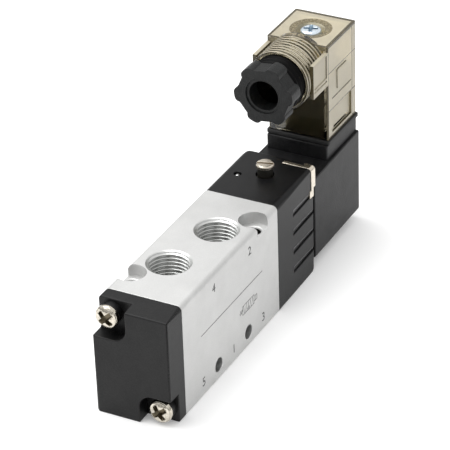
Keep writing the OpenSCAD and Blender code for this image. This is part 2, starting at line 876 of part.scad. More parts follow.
// Moulded pilot body with the piston bore, override bore and coil seat
module pilot_body() {
    half = body_w / 2;
    rear = half - pilot_draft;
    r = pilot_edge_r;
    plan = concat(
        [[end_x, -half]],
        arc_points([pilot_rear_x - r, -rear + r], r, -90, 0),
        arc_points([pilot_rear_x - r, rear - r], r, 0, 90),
        [[end_x, half]]
    );
    side = [
        [end_x, 0], [pilot_rear_x - pilot_chamfer, 0], [pilot_rear_x, pilot_chamfer],
        [pilot_rear_x, body_h], [end_x, body_h]
    ];
    color("dimgray")
        difference() {
            intersection() {
                along_x(end_x, pilot_rear_x)
                    polygon(round_rect([-half, 0], [half, body_h], base_edge_r, r));
                linear_extrude(body_h)
                    polygon(plan);
                along_y(half)
                    polygon(side);
            }
            for (m = [0, 1])
                mirror([0, m, 0])
                    for (i = [0 : grip_n - 1])
                        grip_groove(grip_top - i * grip_pitch);
            along_x(end_x - over, end_x + gasket_t)
                gasket_outline(0);
            bar(end_x - over, piston_floor_x, piston_bore_r);
            bar(piston_floor_x - over, nozzle_x + over, drill_r);
            bar(nozzle_x, flange_seat_x, nozzle_r + seat_gap / 2);
            bar(flange_seat_x - chamber_l, flange_seat_x + over, chamber_r);
            bar(flange_seat_x, pilot_rear_x + over, flange_r + 2 * seat_gap);
            difference() {
                bar(flange_seat_x - tube_seal_seat, flange_seat_x + over,
                    tube_seal_r + tube_seal_wire + seat_gap);
                bar(flange_seat_x - over, flange_seat_x + 2 * over,
                    tube_seal_r - tube_seal_wire - seat_gap);
            }
            for (s = [-1, 1]) {
                bar(end_x - over, pilot_rear_x, clear_hole_r,
                    axis_z + s * pilot_screw_h, -s * pilot_screw_y);
                bar(pilot_head_x, pilot_rear_x + over, head_recess_r,
                    axis_z + s * pilot_screw_h, -s * pilot_screw_y);
            }
            override_bore();
            plugged_passage();
            plate_solid(seat_gap);
            plate_fold(seat_gap, coil_x + over);
        }
}

module override_bore() {
    translate([override_axis.x, override_axis.y, override_floor])
        cylinder(r = override_bore_r, h = body_h);
    translate([override_axis.x, override_axis.y, axis_z])
        cylinder(r = drill_r, h = body_h - axis_z);
}

module plugged_passage() {
    translate([end_x + plug_x, plug_y, axis_z + feed_h])
        cylinder(d = plug_d, h = body_h);
    bar(end_x - over, end_x + plug_x, feed_r, axis_z + feed_h, feed_y);
}

module pilot_screws() {
    color("silver")
        for (s = [-1, 1])
            mirror([1, 0, 0])
                pan_screw(-pilot_head_x, -s * pilot_screw_y, axis_z + s * pilot_screw_h,
                    pilot_head_x - end_x + screw_reach);
}

// Slotted stem with a necked head, a seal groove and a tip inside its spring
module override_stem() {
    r = override_r;
    neck_r = override_neck_d / 2;
    seat_r = r - 2 * override_seal_wire;
    seal_low = override_seal_z - override_seal_w / 2;
    seal_high = seal_low + override_seal_w;
    neck_low = body_h - override_neck_in;
    profile = [
        [0, override_tip_z], [override_tip_r, override_tip_z], [override_tip_r, override_shoulder],
        [r, override_shoulder], [r, seal_low], [seat_r, seal_low], [seat_r, seal_high], [r, seal_high],
        [r, neck_low], [neck_r, neck_low], [neck_r, override_head_z], [r, override_head_z],
        [r, override_top - override_chamfer], [r - override_chamfer, override_top], [0, override_top]
    ];
    color("tan")
        translate([override_axis.x, override_axis.y, 0])
            difference() {
                rotate_extrude()
                    polygon(profile);
                translate([0, 0, override_top])
                    rotate([0, 0, slot_turn])
                        cube([slot_w, override_d + over, 2 * slot_depth], center = true);
            }
}

module override_seal() {
    color("black")
        translate([override_axis.x, override_axis.y, override_seal_z])
            rotate_extrude()
                translate([override_r - override_seal_wire, 0])
                    circle(r = override_seal_wire - seal_slack, $fn = 32);
}

module override_spring() {
    color("lightgray")
        translate([override_axis.x, override_axis.y, override_floor])
            spring(override_spring_r, override_spring_wire, override_shoulder - override_floor - seat_gap,
                override_spring_turns);
}

module plug_ball() {
    r = plug_d / 2 - seal_slack;
    color("silver")
        translate([end_x + plug_x, plug_y, body_h - ball_sunk - r])
            sphere(r = r);
}

// Keeper in the corner of the pilot body: its arc drops into the neck of the tube flange
module plate_solid(gap) {
    side = body_w / 2 - plate_sunk + gap;
    low = plate_foot_z - gap;
    in_y = plate_in_y - gap;
    inner = neck_r + seat_gap - gap;
    r = plate_corner_r;
    start = acos(in_y / inner);
    outline = concat(
        [[in_y, body_h + gap]],
        arc_points([0, axis_z], inner, start, plate_arc_end),
        [[side, low], [side, body_h - r]],
        arc_points([side - r, body_h - r + gap], r, 0, 90)
    );
    mirror([0, 1, 0])
        along_x(plate_x - gap, plate_x + plate_t + gap)
            polygon(outline);
    mirror([0, 1, 0])
        along_x(plate_x - plate_hook_l - gap, plate_x + plate_t + gap)
            translate([side - plate_hook_w - 2 * gap, low])
                square([plate_hook_w + 2 * gap, plate_hook_h + 2 * gap]);
}

// Folded corner of the plate, from its front to some end
module plate_fold(gap, end) {
    side = body_w / 2 - plate_sunk + gap;
    r = plate_corner_r;
    in_y = side - plate_fold_w - 2 * gap;
    low = body_h - plate_fold_h - gap;
    outline = concat(
        [[in_y, body_h + gap], [in_y, low], [side, low], [side, body_h - r]],
        arc_points([side - r, body_h - r + gap], r, 0, 90)
    );
    mirror([0, 1, 0])
        along_x(plate_x - gap, end)
            polygon(outline);
}

module retaining_plate() {
    color("silver")
        union() {
            plate_solid(0);
            plate_fold(0, coil_x - plate_fold_gap);
        }
}

module pilot_nozzle() {
    color("goldenrod")
        difference() {
            union() {
                bar(nozzle_x, flange_seat_x - chamber_l, nozzle_r);
                bar(nozzle_x, armature_x - seat_gap, nozzle_tip_r);
            }
            bar(nozzle_x - over, armature_x + over, nozzle_bore_r);
        }
}

module tube_seal() {
    color("black")
        o_ring(flange_seat_x - tube_seal_wire - seal_slack, tube_seal_r - tube_seal_wire, tube_seal_wire);
}

// Thin tube with the flange that the retaining plate holds
module armature_tube() {
    color("silver")
        difference() {
            union() {
                bar(flange_x, flange_x + flange_t, flange_r);
                bar(flange_x, tube_end_x, tube_r);
            }
            bar(flange_x - over, tube_end_x + over, tube_bore_r);
            difference() {
                bar(plate_x - seat_gap, plate_x + plate_t + seat_gap, flange_r + over);
                bar(flange_x - over, tube_end_x, neck_r);
            }
        }
}

module armature() {
    color("darkgray")
        difference() {
            bar(armature_x + seat_gap, armature_rear_x, armature_r);
            bar(armature_x - over, armature_x + armature_seal_t, armature_seal_r + seat_gap / 2);
            bar(armature_rear_x - spring_bore_l, armature_rear_x + over, spring_bore_r);
        }
}

module armature_seal() {
    color("black")
        bar(armature_x, armature_x + armature_seal_t, armature_seal_r);
}

module armature_spring() {
    low = armature_rear_x - spring_bore_l + seat_gap;
    color("lightgray")
        translate([low, 0, axis_z])
            rotate([0, 90, 0])
                spring(armature_spring_r, armature_spring_wire, core_x - seat_gap - low,
                    armature_spring_turns);
}

module fixed_core() {
    color("darkgray")
        union() {
            bar(core_x, core_rear_x, tube_bore_r - seat_gap / 2);
            bar(tube_end_x + seat_gap, core_rear_x, tube_r);
        }
}

module yoke_box(gap) {
    translate([yoke_x - gap, -yoke_half_w - gap, axis_z - yoke_down - gap])
        cube([yoke_rear_x - yoke_x + 2 * gap, 2 * (yoke_half_w + gap), yoke_down + yoke_up + 2 * gap]);
}

// Blade outlines in plan: two along the valve, one across it
module blade_plan(gap) {
    for (s = [-1, 1])
        translate([screw_x, s * blade_y])
            square([blade_w + 2 * gap, blade_t + 2 * gap], center = true);
    translate([earth_blade_x, 0])
        square([blade_t + 2 * gap, blade_w + 2 * gap], center = true);
}

// Encapsulated housing with drafted sides and the connector's pedestal
module coil_housing() {
    rear = coil_half_w - coil_draft;
    r = coil_edge_r;
    plan = concat(
        [[coil_x, -coil_half_w]],
        arc_points([coil_rear_x - r, -rear + r], r, -90, 0),
        arc_points([coil_rear_x - r, rear - r], r, 0, 90),
        [[coil_x, coil_half_w]]
    );
    side = concat(
        [[coil_x, coil_bottom]],
        arc_points([coil_rear_x - r, coil_bottom + r], r, -90, 0),
        arc_points([coil_rear_x - r, coil_top - r], r, 0, 90),
        [[coil_x, coil_top]]
    );
    blade_low = axis_z + yoke_up + seat_gap;
    color("dimgray")
        difference() {
            union() {
                intersection() {
                    along_x(coil_x, coil_rear_x)
                        polygon(round_rect([-coil_half_w, coil_bottom], [coil_half_w, coil_top], r, r));
                    linear_extrude(coil_top)
                        polygon(plan);
                    along_y(coil_half_w)
                        polygon(side);
                }
                translate([0, 0, coil_top - over])
                    linear_extrude(pedestal_h + over)
                        pedestal_plan();
            }
            yoke_box(seat_gap);
            bar(coil_x - over, yoke_x + over, tube_r + seat_gap);
            translate([screw_x, 0, pedestal_z - pedestal_h])
                cylinder(r = conn_screw_r + seat_gap, h = pedestal_h + over);
            translate([0, 0, blade_low - over])
                linear_extrude(pedestal_z - blade_low + 2 * over)
                    blade_plan(seat_gap);
        }
}

// Plan of the pedestal, which reaches out a little under the connector's gland
module pedestal_plan() {
    r = conn_corner_r;
    side = conn_w / 2 + pedestal_grow;
    polygon(round_rect([conn_x0 - pedestal_fore, -side], [conn_x1, side], r, r));
}

// Square plan of the connector, grown by some distance
module conn_plan(grow) {
    r = conn_corner_r;
    side = conn_w / 2 + grow;
    polygon(round_rect([conn_x0 - grow, -side], [conn_x1 + grow, side], r, r));
}

module coil_bobbin() {
    color("ivory")
        difference() {
            union() {
                bar(bobbin_x, bobbin_rear_x, bobbin_r + bobbin_wall);
                bar(bobbin_x, bobbin_x + bobbin_flange_t, winding_r);
                bar(bobbin_rear_x - bobbin_flange_t, bobbin_rear_x, winding_r);
            }
            bar(bobbin_x - over, bobbin_rear_x + over, bobbin_r);
        }
}

module coil_winding() {
    color("peru")
        difference() {
            bar(bobbin_x + bobbin_flange_t, bobbin_rear_x - bobbin_flange_t, winding_r);
            bar(bobbin_x, bobbin_rear_x, bobbin_r + bobbin_wall);
        }
}

// Bent steel frame: two end plates joined below the winding
module coil_yoke() {
    color("darkgray")
        difference() {
            yoke_box(0);
            translate([yoke_x + yoke_t, -body_w, axis_z - yoke_down + yoke_t])
                cube([yoke_rear_x - yoke_x - 2 * yoke_t, 2 * body_w, body_h]);
            bar(yoke_x - over, yoke_x + yoke_t + over, bobbin_r);
        }
}

module coil_terminals() {
    color("gold")
        translate([0, 0, axis_z + yoke_up + seat_gap])
            linear_extrude(blade_top - axis_z - yoke_up - seat_gap)
                blade_plan(0);
}

module connector_gasket() {
    side = conn_w / 2 - gasket_frame;
    low = [conn_x0 + gasket_frame, -side];
    high = [conn_x1 - gasket_frame + earth_relief, side];
    color("black")
        translate([0, 0, pedestal_z])
            linear_extrude(conn_gasket_t)
                difference() {
                    conn_plan(gasket_proud);
                    polygon(round_rect(low, high, gasket_hole_r, gasket_hole_r));
                }
}

// Side panel sunk into the connector's wall, drawn from its low and high corners in X and Z
module sunk_panel(low, high, depth) {
    translate([conn_x0 + low.x, -conn_w / 2 - over, conn_z0 + low.y])
        cube([high.x - low.x, depth + over, high.y - low.y]);
}

// Clear housing: hollow box, screw well and ribbed barrel with two flat pads
module connector_housing() {
    color("khaki", 0.6)
        difference() {
            union() {
                translate([0, 0, conn_z0])
                    linear_extrude(conn_h)
                        conn_plan(0);
                barrel_outside();
            }
            difference() {
                translate([cavity_x0, -cavity_half_w, conn_z0 - over])
                    cube([cavity_x1 - cavity_x0, 2 * cavity_half_w, cavity_z - conn_z0 + over]);
                translate([screw_x, 0, column_z])
                    cylinder(r = column_r, h = conn_h);
            }
            translate([screw_x, 0, column_z - over])
                cylinder(r = conn_screw_r + screw_clear, h = conn_h);
            translate([screw_x, 0, well_z])
                cylinder(d = well_d, h = conn_h);
            translate([screw_x, 0, conn_z1 - dish_depth])
                cylinder(d1 = well_d, d2 = well_d + 2 * (dish_d - well_d), h = 2 * dish_depth);
            bar(barrel_x - over, shoulder_x, barrel_bore_r, gland_z);
            cone(barrel_x - over, barrel_x + lip_flare, barrel_bore_r + lip_flare + over, barrel_bore_r,
                gland_z);
            bar(shoulder_x - over, cavity_x0 + over, wire_way_r, gland_z);
            for (m = [0, 1])
                mirror([0, m, 0]) {
                    sunk_panel(field_low, field_high, field_depth);
                    sunk_panel(groove_low, groove_high, panel_depth);
                    sunk_panel(frame_low, frame_high, panel_depth);
                    sunk_panel(latch_low, latch_high, conn_wall + over);
                    pad_relief();
                }
        }
}

module barrel_outside() {
    difference() {
        bar(barrel_x, conn_x0 + over, barrel_r, gland_z);
        for (i = [0 : rib_n - 1])
            let (x = rib_x - i * rib_pitch)
            difference() {
                bar(x - rib_pitch / 2, x, barrel_r + over, gland_z);
                bar(x - rib_pitch, x + over, barrel_r - rib_depth, gland_z);
            }
    }
    for (m = [0, 1])
        mirror([0, m, 0])
            translate([pad_x, barrel_r - pad_root, gland_z - pad_half_h])
                cube([conn_x0 + over - pad_x, pad_root + pad_t, 2 * pad_half_h]);
}

// Bordered field and groove cut into the pad on the near side of the barrel
module pad_relief() {
    face_y = -barrel_r - pad_t;
    length = conn_x0 - pad_x - 2 * pad_border;
    field_z = gland_z + pad_half_h - pad_border - pad_field_h;
    translate([pad_x + pad_border, face_y - over, field_z])
        cube([length, over + pad_field_depth, pad_field_h]);
    translate([pad_x + pad_border, face_y - over, field_z - pad_border - pad_line_h])
        cube([length, over + pad_field_depth, pad_line_h]);
}

// Moulded insert with a pocket for each clip and a way for each blade
module terminal_block() {
    half = cavity_half_w - block_fit;
    x0 = cavity_x0 + block_fit;
    x1 = cavity_x1 - block_fit;
    color("darkslategray")
        difference() {
            translate([x0, -half, conn_z0])
                cube([x1 - x0, 2 * half, block_h]);
            translate([screw_x, 0, conn_z0 - over])
                cylinder(r = conn_screw_r + screw_clear, h = block_h + 2 * over);
            translate([0, 0, clip_floor])
                linear_extrude(block_h)
                    clip_plan(pocket_fit);
            translate([0, 0, conn_z0 - over])
                linear_extrude(clip_floor - conn_z0 + 2 * over)
                    blade_plan(pocket_fit);
        }
}

module clip_plan(gap) {
    for (s = [-1, 1])
        translate([screw_x, s * blade_y])
            square([2 * (clip_half_w + gap), 2 * (clip_half_t + gap)], center = true);
    translate([earth_blade_x, 0])
        square([2 * (clip_half_t + gap), 2 * (clip_half_w + gap)], center = true);
}

module contact_clips() {
    slot_h = blade_top - clip_floor + clip_slot_spare;
    color("goldenrod")
        difference() {
            translate([0, 0, clip_floor])
                linear_extrude(clip_h)
                    clip_plan(0);
            translate([0, 0, clip_floor - over])
                linear_extrude(slot_h + over)
                    blade_plan(seat_gap);
        }
}

module connector_screw() {
    crown = conn_crown_r;
    head_r = conn_head_d / 2;
    low = pedestal_z - pedestal_h + screw_tip_gap;
    profile = concat(
        [[0, low], [conn_screw_r, low], [conn_screw_r, head_seat_z], [head_r, head_seat_z]],
        arc_points([head_r - crown, head_top_z - crown], crown, 0, 90),
        [[0, head_top_z]]
    );
    color("lightsteelblue")
        translate([screw_x, 0, 0])
            rotate_extrude()
                polygon(profile);
}

module screw_washer() {
    color("black")
        translate([screw_x, 0, well_z])
            difference() {
                cylinder(d = well_d - 4 * seat_gap, h = washer_t);
                translate([0, 0, -over])
                    cylinder(r = conn_screw_r + seat_gap, h = washer_t + 2 * over);
            }
}

// Grip of the gland nut: a hexagon with a round-ended rib over each corner
module nut_outline() {
    circle(r = nut_flat_r / cos(180 / nut_ribs), $fn = nut_ribs);
    for (i = [0 : nut_ribs - 1])
        rotate(360 * i / nut_ribs - 90)
            polygon(round_rect([-nut_rib_w / 2, 0], [nut_rib_w / 2, nut_rib_r], nut_mouth, nut_rib_end_r));
}

// Gland nut: ribbed grip, plain shank in the barrel, and the cable way
module gland_nut() {
    color("dimgray")
        difference() {
            union() {
                translate([0, 0, gland_z])
                    along_x(nut_x, nut_grip_x)
                        rotate(nut_turn)
                            nut_outline();
                bar(nut_grip_x - over, nut_shank_end, shank_r, gland_z);
            }
            bar(nut_x - over, nut_shank_end + over, cable_r, gland_z);
            bar(nut_x - over, nut_x + nut_mouth, cable_r + nut_mouth / 2, gland_z);
        }
}

module gland_washer() {
    x = nut_shank_end + seat_gap;
    color("silver")
        difference() {
            bar(x, x + gland_washer_t, shank_r, gland_z);
            bar(x - over, x + gland_washer_t + over, washer_hole_r, gland_z);
        }
}

module gland_grommet() {
    x = shoulder_x - seat_gap - grommet_l;
    color("black")
        difference() {
            bar(x, x + grommet_l, shank_r, gland_z);
            bar(x - over, x + grommet_l + over, grommet_hole_r, gland_z);
        }
}

valve_body();
end_cover();
end_cover_gasket();
end_cover_screws();
return_spring();
spool();
spool_seals();
pilot_piston();
piston_seal();
pilot_gasket();
pilot_body();
pilot_screws();
override_stem();
override_seal();
override_spring();
plug_ball();
retaining_plate();
pilot_nozzle();
tube_seal();
armature_tube();
armature();
armature_seal();
armature_spring();
fixed_core();
coil_housing();
coil_bobbin();
coil_winding();
coil_yoke();
coil_terminals();
connector_gasket();
connector_housing();
terminal_block();
contact_clips();
connector_screw();
screw_washer();
gland_nut();
gland_washer();
gland_grommet();
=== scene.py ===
import json
from math import ceil, cos, hypot, pi, radians, sin

import bmesh
import bpy
from mathutils import Matrix, Vector
from mathutils.bvhtree import BVHTree


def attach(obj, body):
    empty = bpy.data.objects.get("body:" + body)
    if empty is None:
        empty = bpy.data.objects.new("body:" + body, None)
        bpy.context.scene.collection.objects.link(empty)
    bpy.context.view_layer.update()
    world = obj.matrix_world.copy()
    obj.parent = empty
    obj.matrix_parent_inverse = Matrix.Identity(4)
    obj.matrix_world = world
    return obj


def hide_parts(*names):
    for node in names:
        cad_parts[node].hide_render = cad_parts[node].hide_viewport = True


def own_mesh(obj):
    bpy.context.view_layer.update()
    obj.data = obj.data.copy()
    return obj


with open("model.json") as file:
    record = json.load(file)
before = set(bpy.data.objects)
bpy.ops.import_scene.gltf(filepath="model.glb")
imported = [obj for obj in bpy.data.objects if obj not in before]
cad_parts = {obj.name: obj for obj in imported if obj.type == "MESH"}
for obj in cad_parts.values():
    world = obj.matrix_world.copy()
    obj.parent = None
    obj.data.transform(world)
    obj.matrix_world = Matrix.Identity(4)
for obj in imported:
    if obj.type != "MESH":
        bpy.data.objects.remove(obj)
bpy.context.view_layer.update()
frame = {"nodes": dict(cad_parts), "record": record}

# Sizes are in millimetres in the CAD frame, and MM turns them to metres.
MM = 0.001
ALONG_X, ALONG_Y, ALONG_Z = range(3)

# How near counts: a point this near a wall is on it, with more room where a region is looked for.
HAIR, NEAR, MARGIN, SLACK = 0.01, 0.02, 0.05, 0.1
# Corners closer than WELD are one, and faces within FLAT degrees of each other are one flat face.
WELD, FLAT = 0.002, 0.3
# A corner this near a cutting plane, in metres, lies on it.
ON_PLANE = 1e-7
# Edges up to this angle, in degrees, look smooth: on any piece, on a thread, on the drafted pilot body.
CREASE, THREAD_CREASE, PILOT_CREASE = 32, 50, 13
# Parts of a face's normal: nearly none along an axis, a little, mostly along it, nearly all, all.
NONE_ALONG, LITTLE_ALONG, MOSTLY_ALONG, NEARLY_ALONG, ALL_ALONG = 0.02, 0.1, 0.9, 0.99, 0.999

# Body
BODY_TOP = 27.0
SIDE_FACE_Y = -9.0
PORT_PITCH = 0.907
PORT_MINOR_R = 4.283
PORT_ROOT_R = 4.76
PORT_CAD_MOUTH_R = 5.05
PORT_OPEN_R = 5.06
PORT_MOUTH_R = 5.03
MOUTH_SLOPE = 1.5
PORT_DEPTH = 7.5
SLEEVE_GAP = 0.005
# A thread's profile: how steep its flanks are, and how wide its root is
FLANK_STEEP, ROOT_FLAT = 1.5, 0.25
TOP_PORTS = [(-8.0, 1.5), (8.0, -1.5)]
BASE_PORTS = [(-14.0, 0.0), (0.0, 0.0), (14.0, 0.0)]
CORNER_HOLES = [(-14.8, 6.8), (14.8, -6.8)]
SPOT_R = 3.3
SPOT_FLOOR_Z = 24.3
CHINK_REACH = 0.2
BASE_EDGE_Z = 1.0
CORNER_HOLE_R = 1.6
CORNER_HOLE_ROUND = 0.45
EDGE_ROUND = 0.12

# End cover: the lower far corner as the CAD has it and as it is rounded here
COVER_HALF_W = 9.0
COVER_CAD_CORNER_R = 0.5
COVER_CORNER_R = 0.9
COVER_FRONT_X = -28.4
COVER_EDGE_ROUND = 0.2
COVER_SIDE_ROUND = 0.55

# Pilot grip: the ramps' lower edges, and how deep they end below the drafted side
GRIP_LEDGES_Z = [19.9 - 4.85 * i for i in range(4)]
GRIP_CAD_Y = 8.05
GRIP_DEPTH = 0.42
GRIP_FRONT_X, GRIP_REAR_X = 30.0, 40.7
GRIP_FRONT_Y = 8.82
GRIP_DRAFT = 0.0218
RAMP_NORMAL_Y, RAMP_NORMAL_Z = 0.85, (-0.5, -0.1)

# How far the edges of the other pieces are rounded
PILOT_ROUND, COIL_ROUND, GASKET_ROUND, PLATE_ROUND, STEM_ROUND = 0.15, 0.25, 0.15, 0.12, 0.08
CONNECTOR_SCREW_ROUND, NUT_ROUND, HOUSING_ROUND = 0.06, 0.12, 0.08

# Screws. A cross recess has its span, the width of its arms and its depth.
COVER_RECESS = (4.2, 1.15, 1.5)
CONNECTOR_RECESS = (3.4, 0.8, 1.3)
CONNECTOR_RECESS_TURN = 20
# Its cutter starts above the head, wider than the recess, and its floor is half as long.
RECESS_ABOVE, RECESS_MOUTH, RECESS_FLOOR, ARM_TAPER = 0.4, 1.12, 0.5, 0.45
SCREW_EDGE_ANGLE = 40
COVER_HEAD_X = -28.3
COVER_SCREWS = [(5.8, 23.6, 45.0), (-5.8, 3.4, 35.0)]
HEAD_RIM_R = 2.5
HEAD_RIM_ROUND = 0.35
RECESS_ROUND = 0.07
CONNECTOR_SCREW = (58.2, 0.0)
CONNECTOR_HEAD_Z = 51.06
CONNECTOR_HEAD_RISE = 0.45
CONNECTOR_HEAD_WIDEN = 1.06
CONNECTOR_HEAD_BAND = 0.5
CONNECTOR_SHANK_R = 2.0

# Override
STEM_HEAD_Z = 28.88

# Gland
GLAND_Z = 46.06
NUT_FACE_X = 33.9
NUT_GRIP_END_X = 38.1
NUT_CAD_BORE_R = 4.0
NUT_BORE_R = 3.5
NUT_LIP = 0.45
NUT_SHANK_R = 6.24
NUT_SHANK_END_X = 46.25
NUT_THREAD_PITCH = 1.5
NUT_THREAD_ROOT_R = 5.7
NUT_CUT_X = 37.0

# Connector
CONNECTOR_SIDE_Y = 7.47
CONNECTOR_TOP = 51.46
CONNECTOR_FRONT_X = 51.1
ROOF_FIELD_X = (51.7, 64.95)
ROOF_FIELD_Y = (-6.8, 6.8)
SIDE_FIELD_X = (51.5, 65.4)
SIDE_SEAM_X = (63.6, 63.85)
SIDE_FIELD_Z = (28.6, 50.9)
SIDE_LINES_Z = [(35.0, 35.25), (44.55, 44.72)]
FRAME_X = (55.7, 60.7)
FRAME_Z = (39.2, 43.9)
FRAME_DEPTH = 0.2
FRAME_RISE = 0.4
BARREL_R = 7.1
BARREL_RIM_X = 42.1
RIB_DEPTH = 0.35
END_GROOVES_X = (42.6, 50.45)
END_GROOVE_W = 0.6
BARREL_TILT = 0.2
SIDE_RELIEF = 0.6
LIP_R = 6.5
CONE_NORMAL_Z = (0.5, 0.98)
DISH_CAD_R, DISH_R, DISH_DEPTH = 5.15, 4.85, 0.2
WELL_CAD_R, WELL_R, WELL_FLOOR_Z, WELL_CAD_RIM_Z = 3.5, 3.3, 48.76, 50.66


# Two noises add up to about 1, and most of the surface lies within this of it.
NOISE_SPREAD = 0.3


def linear(code):
    """An sRGB hex colour as linear RGBA."""
    values = [int(code[i:i + 2], 16) / 255 for i in (1, 3, 5)]
    return [v / 12.92 if v <= 0.04045 else ((v + 0.055) / 1.055) ** 2.4 for v in values] + [1.0]


def add(tree, kind, inputs=None, **settings):
    """A node with its settings. Each input is a value, or a socket to link from."""
    made = tree.nodes.new(kind)
    for name, value in settings.items():
        setattr(made, name, value)
    for name, value in (inputs or {}).items():
        if isinstance(value, bpy.types.NodeSocket):
            tree.links.new(value, made.inputs[name])
        else:
            made.inputs[name].default_value = value
    return made


def finish(name, dark, light, rough, grain, bump, cloud=6.0, **sockets):
    """A surface with cloudy, speckled colour, uneven gloss and a fine raised grain, sizes in millimetres."""
    material = bpy.data.materials.new(name)
    material.use_nodes = True
    tree = material.node_tree
    shader = tree.nodes["Principled BSDF"]
    place = add(tree, "ShaderNodeTexCoord").outputs["Object"]
    drift = add(tree, "ShaderNodeTexNoise",
                {"Vector": place, "Scale": 1 / (cloud * MM), "Detail": 3.0, "Roughness": 0.6})
    fine = add(tree, "ShaderNodeTexNoise",
               {"Vector": place, "Scale": 1 / (grain * MM), "Detail": 2.0, "Roughness": 0.5})
    both = add(tree, "ShaderNodeMath", {0: drift.outputs["Fac"], 1: fine.outputs["Fac"]}, operation="ADD")
    tone = add(tree, "ShaderNodeMapRange",
               {"Value": both.outputs[0], "From Min": 1 - NOISE_SPREAD, "From Max": 1 + NOISE_SPREAD})
    colour = add(tree, "ShaderNodeMix",
                 {"Factor": tone.outputs["Result"], "A": linear(dark), "B": linear(light)}, data_type="RGBA")
    gloss = add(tree, "ShaderNodeMapRange",
                {"Value": fine.outputs["Fac"], "To Min": rough[0], "To Max": rough[1]})
    relief = add(tree, "ShaderNodeBump",
                 {"Height": fine.outputs["Fac"], "Strength": bump, "Distance": grain * MM})
    links = {"Base Color": colour.outputs[2], "Roughness": gloss.outputs["Result"],
             "Normal": relief.outputs["Normal"]}
    for socket, source in links.items():
        tree.links.new(source, shader.inputs[socket])
    for socket, value in sockets.items():
        shader.inputs[socket.replace("_", " ")].default_value = value
    return material


# The grain of a mould, a plating or a ground face is really 0.02 to 0.1 mm. A pixel shows 0.2 mm, so it is
# drawn at 0.2 to 0.6 mm. The slow clouds in the colour are as wide as flow marks and tumbling marks are.

# Aluminium extrusion, bead blasted and clear anodised: an even pale grey with a soft sheen and no streaks.
# The blasted grit is about 0.1 mm, drawn at three times that so that it shows.
blasted_aluminium = finish("aluminium_bead_blasted_anodised", "#C9C9C8", "#D3D3D2", (0.56, 0.68), 0.3, 0.12,
                           Metallic=1.0)
# The same aluminium where a tool has cut it: a little sharper in its gloss.
cut_aluminium = finish("aluminium_machined", "#C4C5C4", "#CDCECD", (0.42, 0.52), 0.4, 0.03, Metallic=1.0)
# The drilled corner holes: rough from the drill, and drawn dark as painted shade for the unlit inside of the
# holes.
hole_aluminium_painted_shade = finish("aluminium_drilled_painted_shade", "#3C3C3B", "#4A4A49", (0.5, 0.65), 0.3, 0.1, Metallic=1.0)
# The tapped threads: bright crests over dark roots.
tapped_aluminium = finish("aluminium_tapped", "#C6C7C5", "#CFD0CE", (0.34, 0.42), 0.5, 0.0, Metallic=1.0)
# Glass-filled nylon from a spark-eroded mould: near black, with a dull satin grain.
cover_nylon = finish("nylon_moulded_black", "#060607", "#191919", (0.34, 0.48), 0.3, 0.12, IOR=1.53,
                     Specular_IOR_Level=0.23)
pilot_nylon = finish("nylon_moulded_black_satin", "#060607", "#161617", (0.30, 0.42), 0.3, 0.10, IOR=1.53,
                     Specular_IOR_Level=0.17)
# The ramps of the pilot's grip: greyer and smoother, a painted reflection of the bright floor that the ramps
# face.
ramp_nylon_painted_reflection = finish("nylon_moulded_black_ramp_painted_reflection", "#343435", "#434344", (0.24, 0.34), 0.3, 0.06, IOR=1.53)
# Coil resin, moulded over the winding: black turning grey, with flow clouds and a rougher skin.
coil_resin = finish("epoxy_moulded_black", "#080809", "#252526", (0.36, 0.52), 0.35, 0.16, cloud=4.0,
                    IOR=1.55, Specular_IOR_Level=0.17)
# Gland nut nylon: a little greyer and more matt than the covers.
gland_nylon = finish("nylon_moulded_grey_black", "#050606", "#1C1D1D", (0.36, 0.54), 0.4, 0.22, cloud=2.0,
                     IOR=1.53, Specular_IOR_Level=0.26)
# The nut's threaded shank: the same nylon, drawn dead black and nearly without gloss, painted shade for the
# barrel's shade over it.
shank_nylon_painted_shade = finish("nylon_moulded_thread_painted_shade", "#030303", "#080808", (0.4, 0.55), 0.3, 0.10, IOR=1.53,
                     Specular_IOR_Level=0.08)
# Terminal block nylon: brown black and smooth.
block_nylon = finish("nylon_moulded_brown_black", "#3A3B3A", "#484947", (0.35, 0.5), 0.25, 0.06)
# Polycarbonate, smoke tinted and polished: see-through straw brown with dark, bright-lined edges.
clear_polycarbonate = finish("polycarbonate_smoke_clear", "#D8CDAE", "#E0D7BE", (0.03, 0.07), 0.6, 0.01,
                             Transmission_Weight=1.0, IOR=1.58)
# The same polycarbonate where the mould was etched: a pale frost that hides what lies behind it.
frosted_polycarbonate = finish("polycarbonate_etched", "#CBC1A6", "#D8CFB8", (0.34, 0.46), 0.2, 0.08,
                               Transmission_Weight=0.45, IOR=1.58)
# The same polycarbonate at its edges, ledges, grooves and lines: a darker straw that lets little light
# through, painted shade for the dark that the clear plastic shows there.
edge_polycarbonate_painted_shade = finish("polycarbonate_smoke_edge_painted_shade", "#413A25", "#574E36", (0.2, 0.3), 0.5, 0.02,
                            Transmission_Weight=0.2, IOR=1.58, Specular_IOR_Level=0.3)
# The same polycarbonate in the dish round the screw: smooth, in a middle straw that lets some light through,
# painted half shade for a dish half lit from below.
dish_polycarbonate_painted_light = finish("polycarbonate_smoke_dish_painted_light", "#675D43", "#7D7357", (0.22, 0.32), 0.5, 0.02,
                            Transmission_Weight=0.25, IOR=1.58, Specular_IOR_Level=0.3)
# White nylon of the coil bobbin: smooth and slightly milky.
white_nylon = finish("nylon_moulded_white", "#DEDCD4", "#E8E6E0", (0.35, 0.5), 0.25, 0.05)
# Nitrile rubber of the seals and gaskets: soft black with a dusty grain.
seal_rubber = finish("nitrile_rubber_moulded", "#161616", "#1E1E1E", (0.55, 0.75), 0.2, 0.12)
